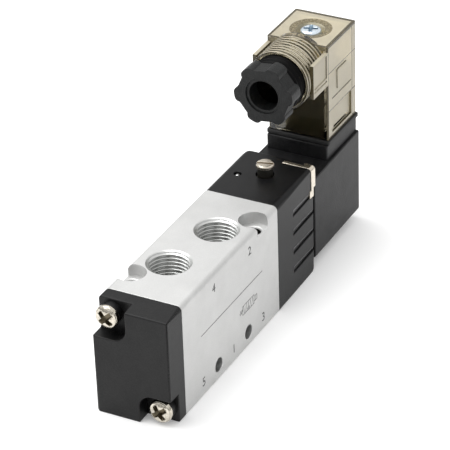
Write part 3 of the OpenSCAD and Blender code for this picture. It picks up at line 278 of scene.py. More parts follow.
# Steel screws, nickel plated: warm white and bright, with light tumbling marks.
nickel_steel = finish("steel_nickel_plated", "#B4AD9F", "#DED8CB", (0.08, 0.18), 0.3, 0.05, cloud=0.9,
                      Metallic=1.0)
# The pressed recess of a screw: the same plated steel drawn dull and brown black, painted shade for the
# inside of the recess.
recess_steel_painted_shade = finish("steel_recess_painted_shade", "#5C5546", "#857C69", (0.3, 0.5), 0.2, 0.1, cloud=0.8,
                       Metallic=1.0)
# Steel screw, zinc plated: a cold bluish white.
zinc_steel = finish("steel_zinc_plated", "#D3DFE8", "#E4EDF4", (0.18, 0.3), 0.3, 0.05, cloud=1.5,
                    Metallic=1.0)
# Its pressed recess: the same zinc drawn dull and blue grey, painted shade for the inside of the recess.
recess_zinc_painted_shade = finish("steel_zinc_recess_painted_shade", "#7C93A6", "#A6BBCB", (0.3, 0.5), 0.2, 0.1, cloud=0.8,
                      Metallic=1.0)
# Sheet steel, nickel plated: the retaining plate's warm sheen, with a sheared edge.
nickel_sheet = finish("steel_sheet_nickel_plated", "#CFC6B6", "#E6DED1", (0.2, 0.36), 0.2, 0.1, cloud=1.0,
                      Metallic=1.0)
# Brass override stem, turned and nickel plated: yellow-grey white.
turned_brass = finish("brass_turned_nickel_plated", "#C6BDAE", "#D2CABD", (0.18, 0.3), 0.2, 0.06, cloud=1.2,
                      Metallic=1.0)
# The stem of the override below its head: dark and not metallic, so that it hardly shows against the pilot
# body.
stem_brass_dark = finish("brass_stem_dark", "#15140F", "#1E1D18", (0.3, 0.42), 0.2, 0.06, cloud=1.2)
# Inner steel, ground: neutral grey.
ground_steel = finish("steel_ground", "#A9A9A8", "#B8B8B7", (0.25, 0.4), 0.2, 0.05, Metallic=1.0)
# Brass of the blades, clips and nozzle: drawn and left bright.
drawn_brass = finish("brass_drawn", "#B59A55", "#C4AB69", (0.25, 0.4), 0.2, 0.05, Metallic=1.0)
# Enamelled copper winding: red brown with a varnish gloss.
enamelled_copper = finish("copper_enamelled", "#8A4A24", "#A15C31", (0.2, 0.35), 0.25, 0.15, Metallic=1.0)
# Pad-printed ink: a thin dark grey film.
print_ink = finish("ink_pad_printed", "#3A3A3A", "#4A4A4A", (0.5, 0.65), 0.2, 0.05)

SLOT_FINISH = {
    "body_aluminium": blasted_aluminium, "cover_plastic": cover_nylon, "pilot_plastic": pilot_nylon,
    "coil_resin": coil_resin, "gland_plastic": gland_nylon, "block_plastic": block_nylon,
    "clear_plastic": clear_polycarbonate, "white_plastic": white_nylon, "rubber_seals": seal_rubber,
    "nickel_screws": nickel_steel, "zinc_screw": zinc_steel, "steel_parts": ground_steel,
    "plate_steel": nickel_sheet, "override_brass": turned_brass, "brass_parts": drawn_brass,
    "copper_wire": enamelled_copper,
}

# Every CAD node takes its slot's finish. The pieces below then replace the ones that show.
NODE_SLOT = {part["node"]: part["material_slot"] for part in frame["record"]["subparts"]}
BODY_OF = {node: body for body, nodes in frame["record"]["behaviour"]["bodies"].items() for node in nodes}
for node, solid in frame["nodes"].items():
    solid.data.materials.clear()
    solid.data.materials.append(SLOT_FINISH[NODE_SLOT[node]])


def piece(name, mesh, body, slot, *nodes, material=None):
    """Links a mesh as a piece that rides on a body and stands for these nodes."""
    made = bpy.data.objects.new(name, mesh)
    bpy.context.scene.collection.objects.link(made)
    if not mesh.materials:
        mesh.materials.append(material or SLOT_FINISH[slot])
    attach(made, body)
    if nodes:
        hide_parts(*nodes)
    return made


def solid_copy(node):
    """A CAD solid's mesh as a bmesh, welded, with the triangles of each flat face joined."""
    form = bmesh.new()
    form.from_mesh(frame["nodes"][node].data)
    bmesh.ops.remove_doubles(form, verts=form.verts, dist=WELD * MM)
    bmesh.ops.dissolve_limit(form, angle_limit=radians(FLAT), verts=form.verts, edges=form.edges)
    return form


def closed(form, name, crease=CREASE):
    """Turns a bmesh into a mesh that is smooth up to an angle."""
    bmesh.ops.recalc_face_normals(form, faces=form.faces)
    for face in form.faces:
        face.smooth = True
    for edge in form.edges:
        edge.smooth = len(edge.link_faces) == 2 and edge.calc_face_angle() < radians(crease)
    mesh = bpy.data.meshes.new(name)
    form.to_mesh(mesh)
    form.free()
    return mesh


def round_edges(made, width, segments=3, angle=35, widths=None):
    """Rounds the sharp outer edges of a piece, as a mould or a deburring tool leaves them.

    A function of an edge's middle may give another width for it, or 0 to leave it sharp.
    """
    form = bmesh.new()
    form.from_mesh(made.data)
    form.normal_update()
    walls = BVHTree.FromBMesh(form)
    weight = form.edges.layers.float.new("bevel_weight_edge")
    widest = width
    for edge in form.edges:
        if len(edge.link_faces) != 2 or not edge.is_convex or edge.calc_face_angle() < radians(angle):
            continue
        middle = (edge.verts[0].co + edge.verts[1].co) / 2
        outward = (edge.link_faces[0].normal + edge.link_faces[1].normal).normalized()
        covered = walls.ray_cast(middle + outward * HAIR * MM, outward)[0] is not None
        if not covered:
            edge[weight] = widths(middle / MM) if widths else width
            widest = max(widest, edge[weight])
    for edge in form.edges:
        edge[weight] /= widest
    form.to_mesh(made.data)
    form.free()
    bevel = made.modifiers.new("rounded_edges", "BEVEL")
    bevel.width = widest * MM
    bevel.segments = segments
    bevel.limit_method = "WEIGHT"
    bevel.use_clamp_overlap = False
    weighted = made.modifiers.new("flat_faces", "WEIGHTED_NORMAL")
    weighted.keep_sharp = True
    return made


def cut(made, cutter):
    """Cuts a mesh out of a piece's own mesh."""
    tool = bpy.data.objects.new("cutter", cutter)
    bpy.context.scene.collection.objects.link(tool)
    modifier = made.modifiers.new("cut", "BOOLEAN")
    modifier.object = tool
    modifier.operation = "DIFFERENCE"
    modifier.solver = "EXACT"
    modifier.material_mode = "TRANSFER"
    bpy.context.view_layer.update()
    result = bpy.data.meshes.new_from_object(made.evaluated_get(bpy.context.evaluated_depsgraph_get()))
    made.modifiers.remove(modifier)
    made.data = result
    bpy.data.objects.remove(tool)


def finished(node, form=None, crease=CREASE):
    """A CAD solid, or a changed copy of it, as a piece that replaces its node."""
    mesh = closed(form or solid_copy(node), node + "_finished", crease)
    return piece(mesh.name, mesh, BODY_OF[node], NODE_SLOT[node], node)


def dressed(node, width, form=None, crease=CREASE, widths=None):
    """A finished piece with its sharp outer edges rounded."""
    return round_edges(finished(node, form, crease), width, widths=widths)


def move_wall(form, centre, old_r, new_r, axis, low, high):
    """Moves a round wall of a bmesh from one radius to another, between two heights on its axis."""
    across = [i for i in range(3) if i != axis]
    for vert in form.verts:
        arm = [vert.co[i] / MM - c for i, c in zip(across, centre)]
        r = hypot(*arm)
        if abs(r - old_r) < NEAR and low < vert.co[axis] / MM < high:
            for i, a, c in zip(across, arm, centre):
                vert.co[i] = (c + a * new_r / r) * MM


def thread_wall(z, turn, pitch, root_r, crest_r):
    """Radius of a rounded thread at a height and a turn, from 0 to 1."""
    phase = (z / pitch - turn) % 1.0
    rise = min(1.0, max(0.0, FLANK_STEEP * abs(2 * phase - 1) - ROOT_FLAT))
    return root_r + (crest_r - root_r) * rise


def thread_sleeve(name, matrix, pitch, root_r, crest_r, back_r, low, high, mouth_r=0.0, steps=160,
                  per_pitch=12):
    """A closed tube along +Z with a threaded wall and a plain wall behind it."""
    form = bmesh.new()
    count = ceil((high - low) / pitch * per_pitch)
    rows = []
    for k in range(count + 1):
        z = low + (high - low) * k / count
        row = []
        for i in range(steps):
            r = thread_wall(z, i / steps, pitch, root_r, crest_r)
            r = max(r, mouth_r - MOUTH_SLOPE * z) if mouth_r else r
            a = 2 * pi * i / steps
            row.append(form.verts.new((r * cos(a) * MM, r * sin(a) * MM, z * MM)))
        rows.append(row)
    for z in (high, low):
        rows.append([form.verts.new((back_r * cos(2 * pi * i / steps) * MM,
                                     back_r * sin(2 * pi * i / steps) * MM, z * MM)) for i in range(steps)])
    for k, row in enumerate(rows):
        after = rows[(k + 1) % len(rows)]
        for i in range(steps):
            j = (i + 1) % steps
            form.faces.new((row[i], row[j], after[j], after[i]))
    form.transform(matrix)
    return closed(form, name, crease=THREAD_CREASE)


def cross_recess(matrix, span, width, depth, material):
    """A cutter for a cross recess, pointing down -Z from the origin of the matrix, tapering as it goes in."""
    form = bmesh.new()
    rings = []
    for z, share in ((RECESS_ABOVE, RECESS_MOUTH), (-depth, RECESS_FLOOR)):
        long, short = span / 2 * share, width / 2 * (1 - ARM_TAPER + ARM_TAPER * share)
        quarter = [(long, -short), (long, short), (short, short)]
        ring = []
        for q in range(4):
            c, s = cos(q * pi / 2), sin(q * pi / 2)
            ring += [form.verts.new(((x * c - y * s) * MM, (x * s + y * c) * MM, z * MM)) for x, y in quarter]
        rings.append(ring)
    n = len(rings[0])
    for i in range(n):
        j = (i + 1) % n
        form.faces.new((rings[0][i], rings[0][j], rings[1][j], rings[1][i]))
    form.faces.new(rings[0])
    form.faces.new(rings[1][::-1])
    form.transform(matrix)
    mesh = closed(form, "recess")
    mesh.materials.append(material)
    return mesh


def at(x, y, z):
    """A shift in millimetres as a matrix."""
    return Matrix.Translation((x * MM, y * MM, z * MM))


def close_spot_wall(form, x, y):
    """Draws shut the chink where a screw's hole grazes the wall of a spot face."""
    chink = []
    for vert in form.verts:
        place = vert.co / MM
        on_spot = hypot(place.x - x, place.y - y) < SPOT_R + HAIR and place.z > SPOT_FLOOR_Z - HAIR
        hole = any(abs(f.normal.x) < NONE_ALONG and abs(f.normal.y) > NONE_ALONG and f.normal.z < NONE_ALONG
                   or f.normal.x * x > MOSTLY_ALONG * abs(x) for f in vert.link_faces)
        if on_spot and hole and abs(place.x) > abs(x) + SPOT_R - CHINK_REACH:
            chink.append(vert)
    middle = sum((v.co for v in chink), Vector()) / len(chink)
    bmesh.ops.pointmerge(form, verts=chink, merge_co=(middle.x, middle.y, SPOT_FLOOR_Z * MM))


# Valve body: the port bores are opened to the thread's outside, and each gets its thread as a sleeve.
form = solid_copy("valve_body")
for ports, low, high in ((TOP_PORTS, BODY_TOP - PORT_DEPTH, BODY_TOP), (BASE_PORTS, 0.0, PORT_DEPTH)):
    for centre in ports:
        for wall_r in (PORT_MINOR_R, PORT_CAD_MOUTH_R):
            move_wall(form, centre, wall_r, PORT_OPEN_R, ALONG_Z, low - SLACK, high + SLACK)
for x, y in CORNER_HOLES:
    close_spot_wall(form, x, y)
body = finished("valve_body", form)
body.data.materials.append(cut_aluminium)
body.data.materials.append(hole_aluminium_painted_shade)
BLASTED, CUT, HOLE_SHADE = range(3)
for face in body.data.polygons:
    x, y, z = face.center / MM
    outside = z > BODY_TOP - NEAR or z < NEAR or abs(y) > -SIDE_FACE_Y - NEAR
    in_port = any(hypot(x - port_x, y - port_y) < PORT_OPEN_R + MARGIN
                  for port_x, port_y in TOP_PORTS + BASE_PORTS)
    in_hole = any(hypot(x - hole_x, y - hole_y) < CORNER_HOLE_R + NEAR for hole_x, hole_y in CORNER_HOLES)
    # The corner holes' walls take the dark aluminium, which is painted shade.
    if not outside and (in_port or in_hole and abs(face.normal.z) < LITTLE_ALONG):
        face.material_index = CUT if in_port else HOLE_SHADE


def body_rounding(place):
    """The corner holes have round mouths. The spot faces, the ports and the base keep their edges."""
    from_spot = min(hypot(place.x - x, place.y - y) for x, y in CORNER_HOLES)
    from_port = min(hypot(place.x - x, place.y - y) for x, y in TOP_PORTS + BASE_PORTS)
    if from_spot < CORNER_HOLE_R + SLACK and place.z > BASE_EDGE_Z:
        return CORNER_HOLE_ROUND
    return 0.0 if from_spot < SPOT_R + 2 * SLACK or from_port < PORT_OPEN_R + SLACK else EDGE_ROUND


round_edges(body, EDGE_ROUND, widths=body_rounding)
body.modifiers["rounded_edges"].material = BLASTED

FLIP = Matrix.Rotation(pi, 4, "X")
THREAD_END = PORT_DEPTH - MARGIN
for side, ports, level, turn in (("top", TOP_PORTS, BODY_TOP, FLIP), ("base", BASE_PORTS, 0.0, Matrix())):
    for i, (x, y) in enumerate(ports):
        sleeve = thread_sleeve(f"{side}_port_thread_{i + 1}", at(x, y, level) @ turn, PORT_PITCH, PORT_ROOT_R,
                               PORT_MINOR_R, PORT_OPEN_R - SLEEVE_GAP, 0.0, THREAD_END, mouth_r=PORT_MOUTH_R)
        piece(sleeve.name, sleeve, "valve", "body_aluminium", material=tapped_aluminium)

# End cover, pilot body, coil housing and gasket: the CAD forms with moulded edges.
cover = solid_copy("end_cover")
for vert in cover.verts:
    inward_y, inward_z = COVER_HALF_W - vert.co.y / MM, vert.co.z / MM
    if max(inward_y, inward_z) < COVER_CAD_CORNER_R + HAIR:
        vert.co.y = (COVER_HALF_W - inward_y * COVER_CORNER_R / COVER_CAD_CORNER_R) * MM
        vert.co.z = inward_z * COVER_CORNER_R / COVER_CAD_CORNER_R * MM


def cover_rounding(place):
    """The cover's upright edge beside the printed side is the roundest."""
    on_edge = place.x < COVER_FRONT_X + SLACK and place.y < -COVER_HALF_W + SLACK
    return COVER_SIDE_ROUND if on_edge else COVER_EDGE_ROUND


dressed("end_cover", COVER_EDGE_ROUND, cover, widths=cover_rounding)

# The grip's ramps end in ledges, which are a little shallower than the CAD's.
pilot_form = solid_copy("pilot_body")
for vert in pilot_form.verts:
    x, y, z = vert.co / MM
    on_ledge = abs(abs(y) - GRIP_CAD_Y) < NEAR and any(abs(z - level) < NEAR for level in GRIP_LEDGES_Z)
    if on_ledge and x < GRIP_REAR_X:
        depth_y = GRIP_FRONT_Y - GRIP_DRAFT * (x - GRIP_FRONT_X) - GRIP_DEPTH
        vert.co.y = (depth_y if y > 0 else -depth_y) * MM
pilot = dressed("pilot_body", PILOT_ROUND, pilot_form, crease=PILOT_CREASE)
pilot.data.materials.append(ramp_nylon_painted_reflection)
# The ramps take the lighter nylon, which is a painted reflection.
for face in pilot.data.polygons:
    on_grip = abs(face.center.y) / MM > GRIP_CAD_Y and abs(face.normal.y) > RAMP_NORMAL_Y
    ramp = on_grip and RAMP_NORMAL_Z[0] < face.normal.z < RAMP_NORMAL_Z[1]
    face.material_index = int(ramp)
dressed("coil_housing", COIL_ROUND)
dressed("connector_gasket", GASKET_ROUND)
dressed("retaining_plate", PLATE_ROUND)
stem = dressed("override_stem", STEM_ROUND)
stem.data.materials.append(stem_brass_dark)
for face in stem.data.polygons:
    face.material_index = int(face.center.z / MM < STEM_HEAD_Z)

# Screws: the CAD heads with a cross recess.
screws = finished("end_cover_screws")
for y, z, turn in COVER_SCREWS:
    pose = at(COVER_HEAD_X, y, z) @ Matrix.Rotation(-pi / 2, 4, "Y") @ Matrix.Rotation(radians(turn), 4, "Z")
    # The recess walls take the darker steel, which is painted shade.
    cut(screws, cross_recess(pose, *COVER_RECESS, recess_steel_painted_shade))


def head_rounding(place):
    """A pan head's rim is rounder than its recess."""
    from_axis = min(hypot(place.y - y, place.z - z) for y, z, _ in COVER_SCREWS)
    return HEAD_RIM_ROUND if from_axis > HEAD_RIM_R else RECESS_ROUND


round_edges(screws, RECESS_ROUND, segments=4, angle=SCREW_EDGE_ANGLE, widths=head_rounding)

# The connector's screw stands nearly flush with the roof.
form = solid_copy("connector_screw")
for vert in form.verts:
    x, y, z = vert.co / MM
    if z > WELL_FLOOR_Z - MARGIN and hypot(x - CONNECTOR_SCREW[0], y) > CONNECTOR_SHANK_R:
        vert.co.x += (x - CONNECTOR_SCREW[0]) * (CONNECTOR_HEAD_WIDEN - 1) * MM
        vert.co.y += y * (CONNECTOR_HEAD_WIDEN - 1) * MM
    if z > CONNECTOR_HEAD_Z - CONNECTOR_HEAD_BAND:
        vert.co.z += CONNECTOR_HEAD_RISE * MM
screw = finished("connector_screw", form)
turned = Matrix.Rotation(radians(CONNECTOR_RECESS_TURN), 4, "Z")
pose = at(*CONNECTOR_SCREW, CONNECTOR_HEAD_Z + CONNECTOR_HEAD_RISE) @ turned
# The recess walls take the darker zinc, which is painted shade.
cut(screw, cross_recess(pose, *CONNECTOR_RECESS, recess_zinc_painted_shade))
round_edges(screw, CONNECTOR_SCREW_ROUND, angle=SCREW_EDGE_ANGLE)

# Gland nut: the front of the CAD grip, drawn out to its full length, and a threaded shank behind it.
form = solid_copy("gland_nut")
bmesh.ops.bisect_plane(form, geom=form.verts[:] + form.edges[:] + form.faces[:], dist=ON_PLANE,
                       plane_co=(NUT_CUT_X * MM, 0, 0), plane_no=(1, 0, 0), clear_outer=True)
rim = [e for e in form.edges if e.is_boundary]
drawn = bmesh.ops.extrude_edge_only(form, edges=rim)["geom"]
for vert in (g for g in drawn if isinstance(g, bmesh.types.BMVert)):
    vert.co.x = NUT_GRIP_END_X * MM
bmesh.ops.triangle_fill(form, edges=[g for g in drawn if isinstance(g, bmesh.types.BMEdge) and g.is_boundary],
                        use_beauty=True)
move_wall(form, (0.0, GLAND_Z), NUT_CAD_BORE_R, NUT_BORE_R, ALONG_X, NUT_FACE_X - SLACK,
          NUT_GRIP_END_X + SLACK)
lip = [e for e in form.edges if all(abs(v.co.x / MM - NUT_FACE_X) < NEAR
                                    and abs(hypot(v.co.y / MM, v.co.z / MM - GLAND_Z) - NUT_BORE_R) < MARGIN
                                    for v in e.verts)]
bmesh.ops.bevel(form, geom=lip, offset=NUT_LIP * MM, segments=1, affect="EDGES")
dressed("gland_nut", NUT_ROUND, form)
pose = at(NUT_GRIP_END_X, 0, GLAND_Z) @ Matrix.Rotation(pi / 2, 4, "Y")
shank = thread_sleeve("gland_nut_thread", pose, NUT_THREAD_PITCH, NUT_THREAD_ROOT_R, NUT_SHANK_R - NEAR,
                      NUT_CAD_BORE_R + NEAR, -MARGIN, NUT_SHANK_END_X - NUT_GRIP_END_X)
# The shank's near-black nylon is painted shade.
piece("gland_nut_thread", shank, "gland_nut_body", "gland_plastic", material=shank_nylon_painted_shade)


def split_faces(form, faces, axis, level):
    """Splits flat faces along a plane across an axis."""
    normal = [float(i == axis) for i in range(3)]
    parts = set(faces)
    for face in faces:
        parts.update(face.edges, face.verts)
    cut_made = bmesh.ops.bisect_plane(form, geom=list(parts), dist=ON_PLANE, plane_no=normal,
                                      plane_co=[n * level * MM for n in normal])
    return [g for g in cut_made["geom"] if isinstance(g, bmesh.types.BMFace)]


# Connector housing: polished in front and behind, etched on the sides, the roof, the barrel and the screw's
# well. The etching stops short of the edges. These, the ledges, the grooves and the lines take a darker
# straw, painted shade; the dish takes a middle straw, painted half shade.
CLEAR, ETCHED, EDGE, DISH = range(4)


def connector_finish(face):
    """Which finish a face of the connector has. A groove or a line takes the edges' finish, painted shade."""
    x, y, z = face.calc_center_median() / MM
    if x < CONNECTOR_FRONT_X - MARGIN:
        reach = hypot(y, z - GLAND_Z)
        etched = x < BARREL_RIM_X or reach > BARREL_R - SLACK and abs(face.normal.x) < BARREL_TILT
        return CLEAR if reach < LIP_R else ETCHED if etched else EDGE
    from_screw = hypot(x - CONNECTOR_SCREW[0], y)
    # The dish takes its painted half shade, and the well's wall is etched.
    if from_screw < DISH_R and z > WELL_FLOOR_Z - SLACK and face.normal.z < ALL_ALONG:
        return DISH if face.normal.z > CONE_NORMAL_Z[0] else ETCHED
    if face.normal.z > ALL_ALONG and z > CONNECTOR_TOP - NEAR:
        field = ROOF_FIELD_X[0] < x < ROOF_FIELD_X[1] and ROOF_FIELD_Y[0] < y < ROOF_FIELD_Y[1]
        return ETCHED if field else EDGE
    if abs(abs(y) - CONNECTOR_SIDE_Y) < SIDE_RELIEF:
        field = SIDE_FIELD_X[0] < x < SIDE_FIELD_X[1] and SIDE_FIELD_Z[0] < z < SIDE_FIELD_Z[1]
        line = any(low < z < high for low, high in SIDE_LINES_Z)
        seam = SIDE_SEAM_X[0] < x < SIDE_SEAM_X[1]
        etched = field and not line and not seam and abs(face.normal.y) > MOSTLY_ALONG
        return ETCHED if etched else EDGE
    return CLEAR


# The dish round the screw's well is shallower and smaller than the CAD's, and laid anew between two circles.
form = solid_copy("connector_housing")
screw_axis = Vector((*CONNECTOR_SCREW, 0)) * MM
ring = [f for f in form.faces if CONE_NORMAL_Z[0] < f.normal.z < CONE_NORMAL_Z[1]
        and f.calc_center_median().z / MM > WELL_CAD_RIM_Z
        and (f.calc_center_median() - screw_axis).xy.length / MM < DISH_CAD_R]
bmesh.ops.delete(form, geom=ring, context="FACES")
rims = [e for e in form.edges if e.is_boundary]
for vert in form.verts:
    if abs(vert.co.z / MM - WELL_CAD_RIM_Z) < NEAR and vert.is_boundary:
        vert.co.z = (CONNECTOR_TOP - DISH_DEPTH) * MM
bmesh.ops.bridge_loops(form, edges=rims)
move_wall(form, CONNECTOR_SCREW, DISH_CAD_R, DISH_R, ALONG_Z, CONNECTOR_TOP - NEAR, CONNECTOR_TOP + NEAR)
move_wall(form, CONNECTOR_SCREW, WELL_CAD_R, WELL_R, ALONG_Z, WELL_FLOOR_Z - SLACK, CONNECTOR_TOP)
form.normal_update()
roof = [f for f in form.faces if f.normal.z > NEARLY_ALONG
        and abs(f.calc_center_median().z / MM - CONNECTOR_TOP) < NEAR]
for axis, levels in ((ALONG_X, ROOF_FIELD_X), (ALONG_Y, ROOF_FIELD_Y)):
    for level in levels:
        roof = split_faces(form, roof, axis, level)
sides = [f for f in form.faces if abs(f.normal.y) > NEARLY_ALONG
         and abs(abs(f.calc_center_median().y / MM) - CONNECTOR_SIDE_Y) < NEAR]
for axis, levels in ((ALONG_X, SIDE_FIELD_X), (ALONG_X, SIDE_SEAM_X), (ALONG_Z, SIDE_FIELD_Z),
                     (ALONG_Z, SIDE_LINES_Z[0]), (ALONG_Z, SIDE_LINES_Z[1])):
    for level in levels:
        sides = split_faces(form, sides, axis, level)
for vert in form.verts:
    x, y, z = vert.co / MM
    on_frame = (FRAME_X[0] - MARGIN < x < FRAME_X[1] + MARGIN
                and FRAME_Z[0] - MARGIN < z < FRAME_Z[1] + MARGIN)
    if on_frame and abs(abs(y) - CONNECTOR_SIDE_Y + FRAME_DEPTH) < NEAR:
        vert.co.y += (FRAME_RISE if y > 0 else -FRAME_RISE) * MM
crests = [f for f in form.faces
          if f.calc_center_median().x / MM < CONNECTOR_FRONT_X and abs(f.normal.x) < LITTLE_ALONG
          and all(abs(hypot(v.co.y / MM, v.co.z / MM - GLAND_Z) - BARREL_R) < NEAR for v in f.verts)]
for middle in END_GROOVES_X:
    for level in (middle - END_GROOVE_W / 2, middle, middle + END_GROOVE_W / 2):
        crests = split_faces(form, crests, ALONG_X, level)
    move_wall(form, (0.0, GLAND_Z), BARREL_R, BARREL_R - RIB_DEPTH, ALONG_X, middle - HAIR, middle + HAIR)
form.normal_update()
for face in form.faces:
    face.material_index = connector_finish(face)
housing = finished("connector_housing", form)
for material in (frosted_polycarbonate, edge_polycarbonate_painted_shade, dish_polycarbonate_painted_light):
    housing.data.materials.append(material)
round_edges(housing, HOUSING_ROUND)


# Springs: each becomes a piece with a mesh of its own; nothing here shortens it by its stroke.
# A row gives the joint, the axis, where the seat is on it, and the stroke.
SPRINGS = {
    "return_spring": ("spool_shift", ALONG_X, -27.05, 3.0),
    "armature_spring": ("armature_pull", ALONG_X, 51.07, 0.8),
    "override_spring": ("override_push", ALONG_Z, 17.0, 1.5),
}
for node, (joint, axis, seat, stroke_mm) in SPRINGS.items():
    spring = finished(node)
    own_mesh(spring)

# Printed marks on the side: port numbers, a rule and the valve's symbol.
# The ink stands proud by INK_T. A stroke is a little thicker, so that it has no gap under it.
INK_T = 0.02
STROKE_T = 0.03


def stroke(form, points, width, y):
    """Adds a flat printed line through points in the XZ plane."""
    for (x0, z0), (x1, z1) in zip(points, points[1:]):
        along = Vector((x1 - x0, 0, z1 - z0)).normalized()
        wide = Vector((-along.z, 0, along.x)) * width / 2
        ends = [Vector((x0, y, z0)) - along * width / 2, Vector((x1, y, z1)) + along * width / 2]
        corners = [ends[0] - wide, ends[0] + wide, ends[1] + wide, ends[1] - wide]
        face = form.faces.new([form.verts.new(c * MM) for c in corners])
        extruded = bmesh.ops.extrude_face_region(form, geom=[face])["geom"]
        moved = [g for g in extruded if isinstance(g, bmesh.types.BMVert)]
        bmesh.ops.translate(form, verts=moved, vec=(0, STROKE_T * MM, 0))


RULE_X, RULE_Z, RULE_W = (-14.3, 14.0), 15.1, 0.16
PORT_MARKS = {"4": (-8.1, 23.3), "2": (8.5, 23.2), "5": (-13.9, 3.4), "1": (0.0, 3.3), "3": (14.1, 3.2)}
MARK_H = 2.1
FONT_CAP = 0.69
for mark, (x, z) in PORT_MARKS.items():
    curve = bpy.data.curves.new("port_mark_" + mark, "FONT")
    curve.body = mark
    curve.align_x = "CENTER"
    curve.align_y = "CENTER"
    curve.size = MARK_H / FONT_CAP * MM
    curve.extrude = INK_T / 2 * MM
    text = bpy.data.objects.new("port_mark_" + mark, curve)
    text.matrix_world = at(x, SIDE_FACE_Y - INK_T / 2, z) @ Matrix.Rotation(pi / 2, 4, "X")
    mesh = bpy.data.meshes.new_from_object(text)
    mesh.transform(text.matrix_world)
    bpy.data.objects.remove(text)
    mesh.materials.clear()
    piece("port_mark_" + mark, mesh, "valve", "body_aluminium", material=print_ink)

form = bmesh.new()
stroke(form, [(x, RULE_Z) for x in RULE_X], RULE_W, SIDE_FACE_Y - INK_T)
piece("printed_rule", closed(form, "printed_rule"), "valve", "body_aluminium", material=print_ink)

# The symbol of a five-port valve with two places, a solenoid and a spring, as the standards draw it.
SYMBOL_X, SYMBOL_Z, BOX_W, BOX_H, SYMBOL_LINE = 7.2, 9.2, 2.7, 2.2, 0.11
SYMBOL_LINES = [
    [(-BOX_W, 0), (BOX_W, 0), (BOX_W, BOX_H), (-BOX_W, BOX_H), (-BOX_W, 0)], [(0, 0), (0, BOX_H)],
    [(-2.3, BOX_H), (-1.9, 0)], [(-1.35, 0), (-0.85, BOX_H)], [(-0.4, 0), (-0.4, 0.6)],
    [(-0.6, 0.6), (-0.2, 0.6)],
    [(0.4, 0), (0.4, 0.6)], [(0.2, 0.6), (0.6, 0.6)], [(0.85, BOX_H), (1.35, 0)], [(1.9, BOX_H), (2.3, 0)],
    [(BOX_W, 0.5), (4.1, 0.5), (4.1, 1.7), (BOX_W, 1.7)], [(3.1, 0.5), (3.7, 1.7)],
    [(-BOX_W, 0.9), (-3.0, 1.6), (-3.3, 0.6), (-3.6, 1.6), (-3.9, 0.6), (-4.1, 1.1)],
]
form = bmesh.new()
for points in SYMBOL_LINES:
    stroke(form, [(SYMBOL_X + x, SYMBOL_Z + z) for x, z in points], SYMBOL_LINE, SIDE_FACE_Y - INK_T)
piece("printed_symbol", closed(form, "printed_symbol"), "valve", "body_aluminium", material=print_ink)

# Floor, light and camera. The floor is in metres.
FLOOR_HALF = 3
# What the camera, a gloss or clear plastic sees of the floor is lifted by this to white.
FLOOR_LIFT = 0.17
floor_mesh = bpy.data.meshes.new("floor")
floor_corners = [(x * FLOOR_HALF, y * FLOOR_HALF, 0) for x, y in ((-1, -1), (1, -1), (1, 1), (-1, 1))]
floor_mesh.from_pydata(floor_corners, [], [(0, 1, 2, 3)])
floor = bpy.data.objects.new("floor", floor_mesh)
bpy.context.scene.collection.objects.link(floor)
paper = bpy.data.materials.new("paper_sweep_white")
paper.use_nodes = True
tree = paper.node_tree
shader = tree.nodes["Principled BSDF"]
shader.inputs["Base Color"].default_value = linear("#F0F0F0")
shader.inputs["Roughness"].default_value = 0.9
shader.inputs["Specular IOR Level"].default_value = 0.1
path = add(tree, "ShaderNodeLightPath")
seen = add(tree, "ShaderNodeMath", {0: path.outputs["Is Camera Ray"], 1: path.outputs["Is Glossy Ray"]},
           operation="MAXIMUM")
seen = add(tree, "ShaderNodeMath", {0: seen.outputs[0], 1: path.outputs["Is Transmission Ray"]},
           operation="MAXIMUM")
lift = add(tree, "ShaderNodeMapRange", {"Value": seen.outputs[0], "To Min": 0.0, "To Max": FLOOR_LIFT})
tree.links.new(lift.outputs["Result"], shader.inputs["Emission Strength"])
shader.inputs["Emission Color"].default_value = (1, 1, 1, 1)
floor_mesh.materials.append(paper)

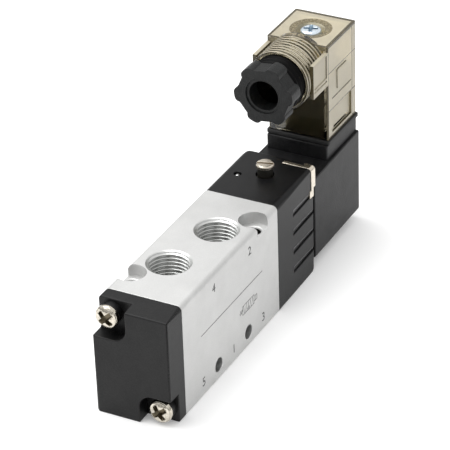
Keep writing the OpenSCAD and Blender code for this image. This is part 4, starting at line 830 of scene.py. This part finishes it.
world = bpy.data.worlds.new("studio")
bpy.context.scene.world = world
world.use_nodes = True
tree = world.node_tree
height = add(tree, "ShaderNodeSeparateXYZ", {"Vector": add(tree, "ShaderNodeTexCoord").outputs["Generated"]})
fade = add(tree, "ShaderNodeMapRange", {"Value": height.outputs["Z"], "From Min": -0.05, "From Max": 0.5,
                                        "To Min": 0.35, "To Max": 1.0}, interpolation_type="SMOOTHSTEP")
tree.links.new(fade.outputs["Result"], tree.nodes["Background"].inputs["Strength"])
tree.nodes["Background"].inputs["Color"].default_value = (1, 1, 1, 1)


def lamp(name, place, aim, size, power):
    """A square soft lamp that faces a point, in millimetres and watts."""
    light = bpy.data.lights.new(name, "AREA")
    light.shape = "SQUARE"
    light.size = size * MM
    light.energy = power
    made = bpy.data.objects.new(name, light)
    bpy.context.scene.collection.objects.link(made)
    made.location = Vector(place) * MM
    made.rotation_euler = (Vector(aim) - Vector(place)).to_track_quat("-Z", "Y").to_euler()


lamp("key_softbox", place=(-60, 260, 700), aim=(18, 0, 20), size=620, power=4.4)

# Camera: the photograph's direction, in degrees, and its place.
AZIMUTH, ELEVATION, ROLL = radians(-61.76), radians(31.09), radians(-1.95)
CAMERA_PLACE = (-417.4, -232.0, 319.8)
FOCAL_PX, FRAME_PX, SENSOR = 2647.9, 450, 36.0
back = Vector((sin(AZIMUTH) * cos(ELEVATION), -cos(AZIMUTH) * cos(ELEVATION), sin(ELEVATION)))
right = Vector((cos(AZIMUTH), sin(AZIMUTH), 0))
up = back.cross(right)
right, up = right * cos(ROLL) + up * sin(ROLL), up * cos(ROLL) - right * sin(ROLL)
camera = bpy.data.objects.new("camera", bpy.data.cameras.new("camera"))
bpy.context.scene.collection.objects.link(camera)
camera.data.sensor_width = SENSOR
camera.data.lens = FOCAL_PX / FRAME_PX * SENSOR
camera.data.clip_start = 0.01
turned = Matrix((right, up, back)).transposed().to_4x4()
camera.matrix_world = Matrix.Translation(Vector(CAMERA_PLACE) * MM) @ turned
bpy.context.scene.camera = camera
bpy.context.scene.view_settings.view_transform = "Standard"
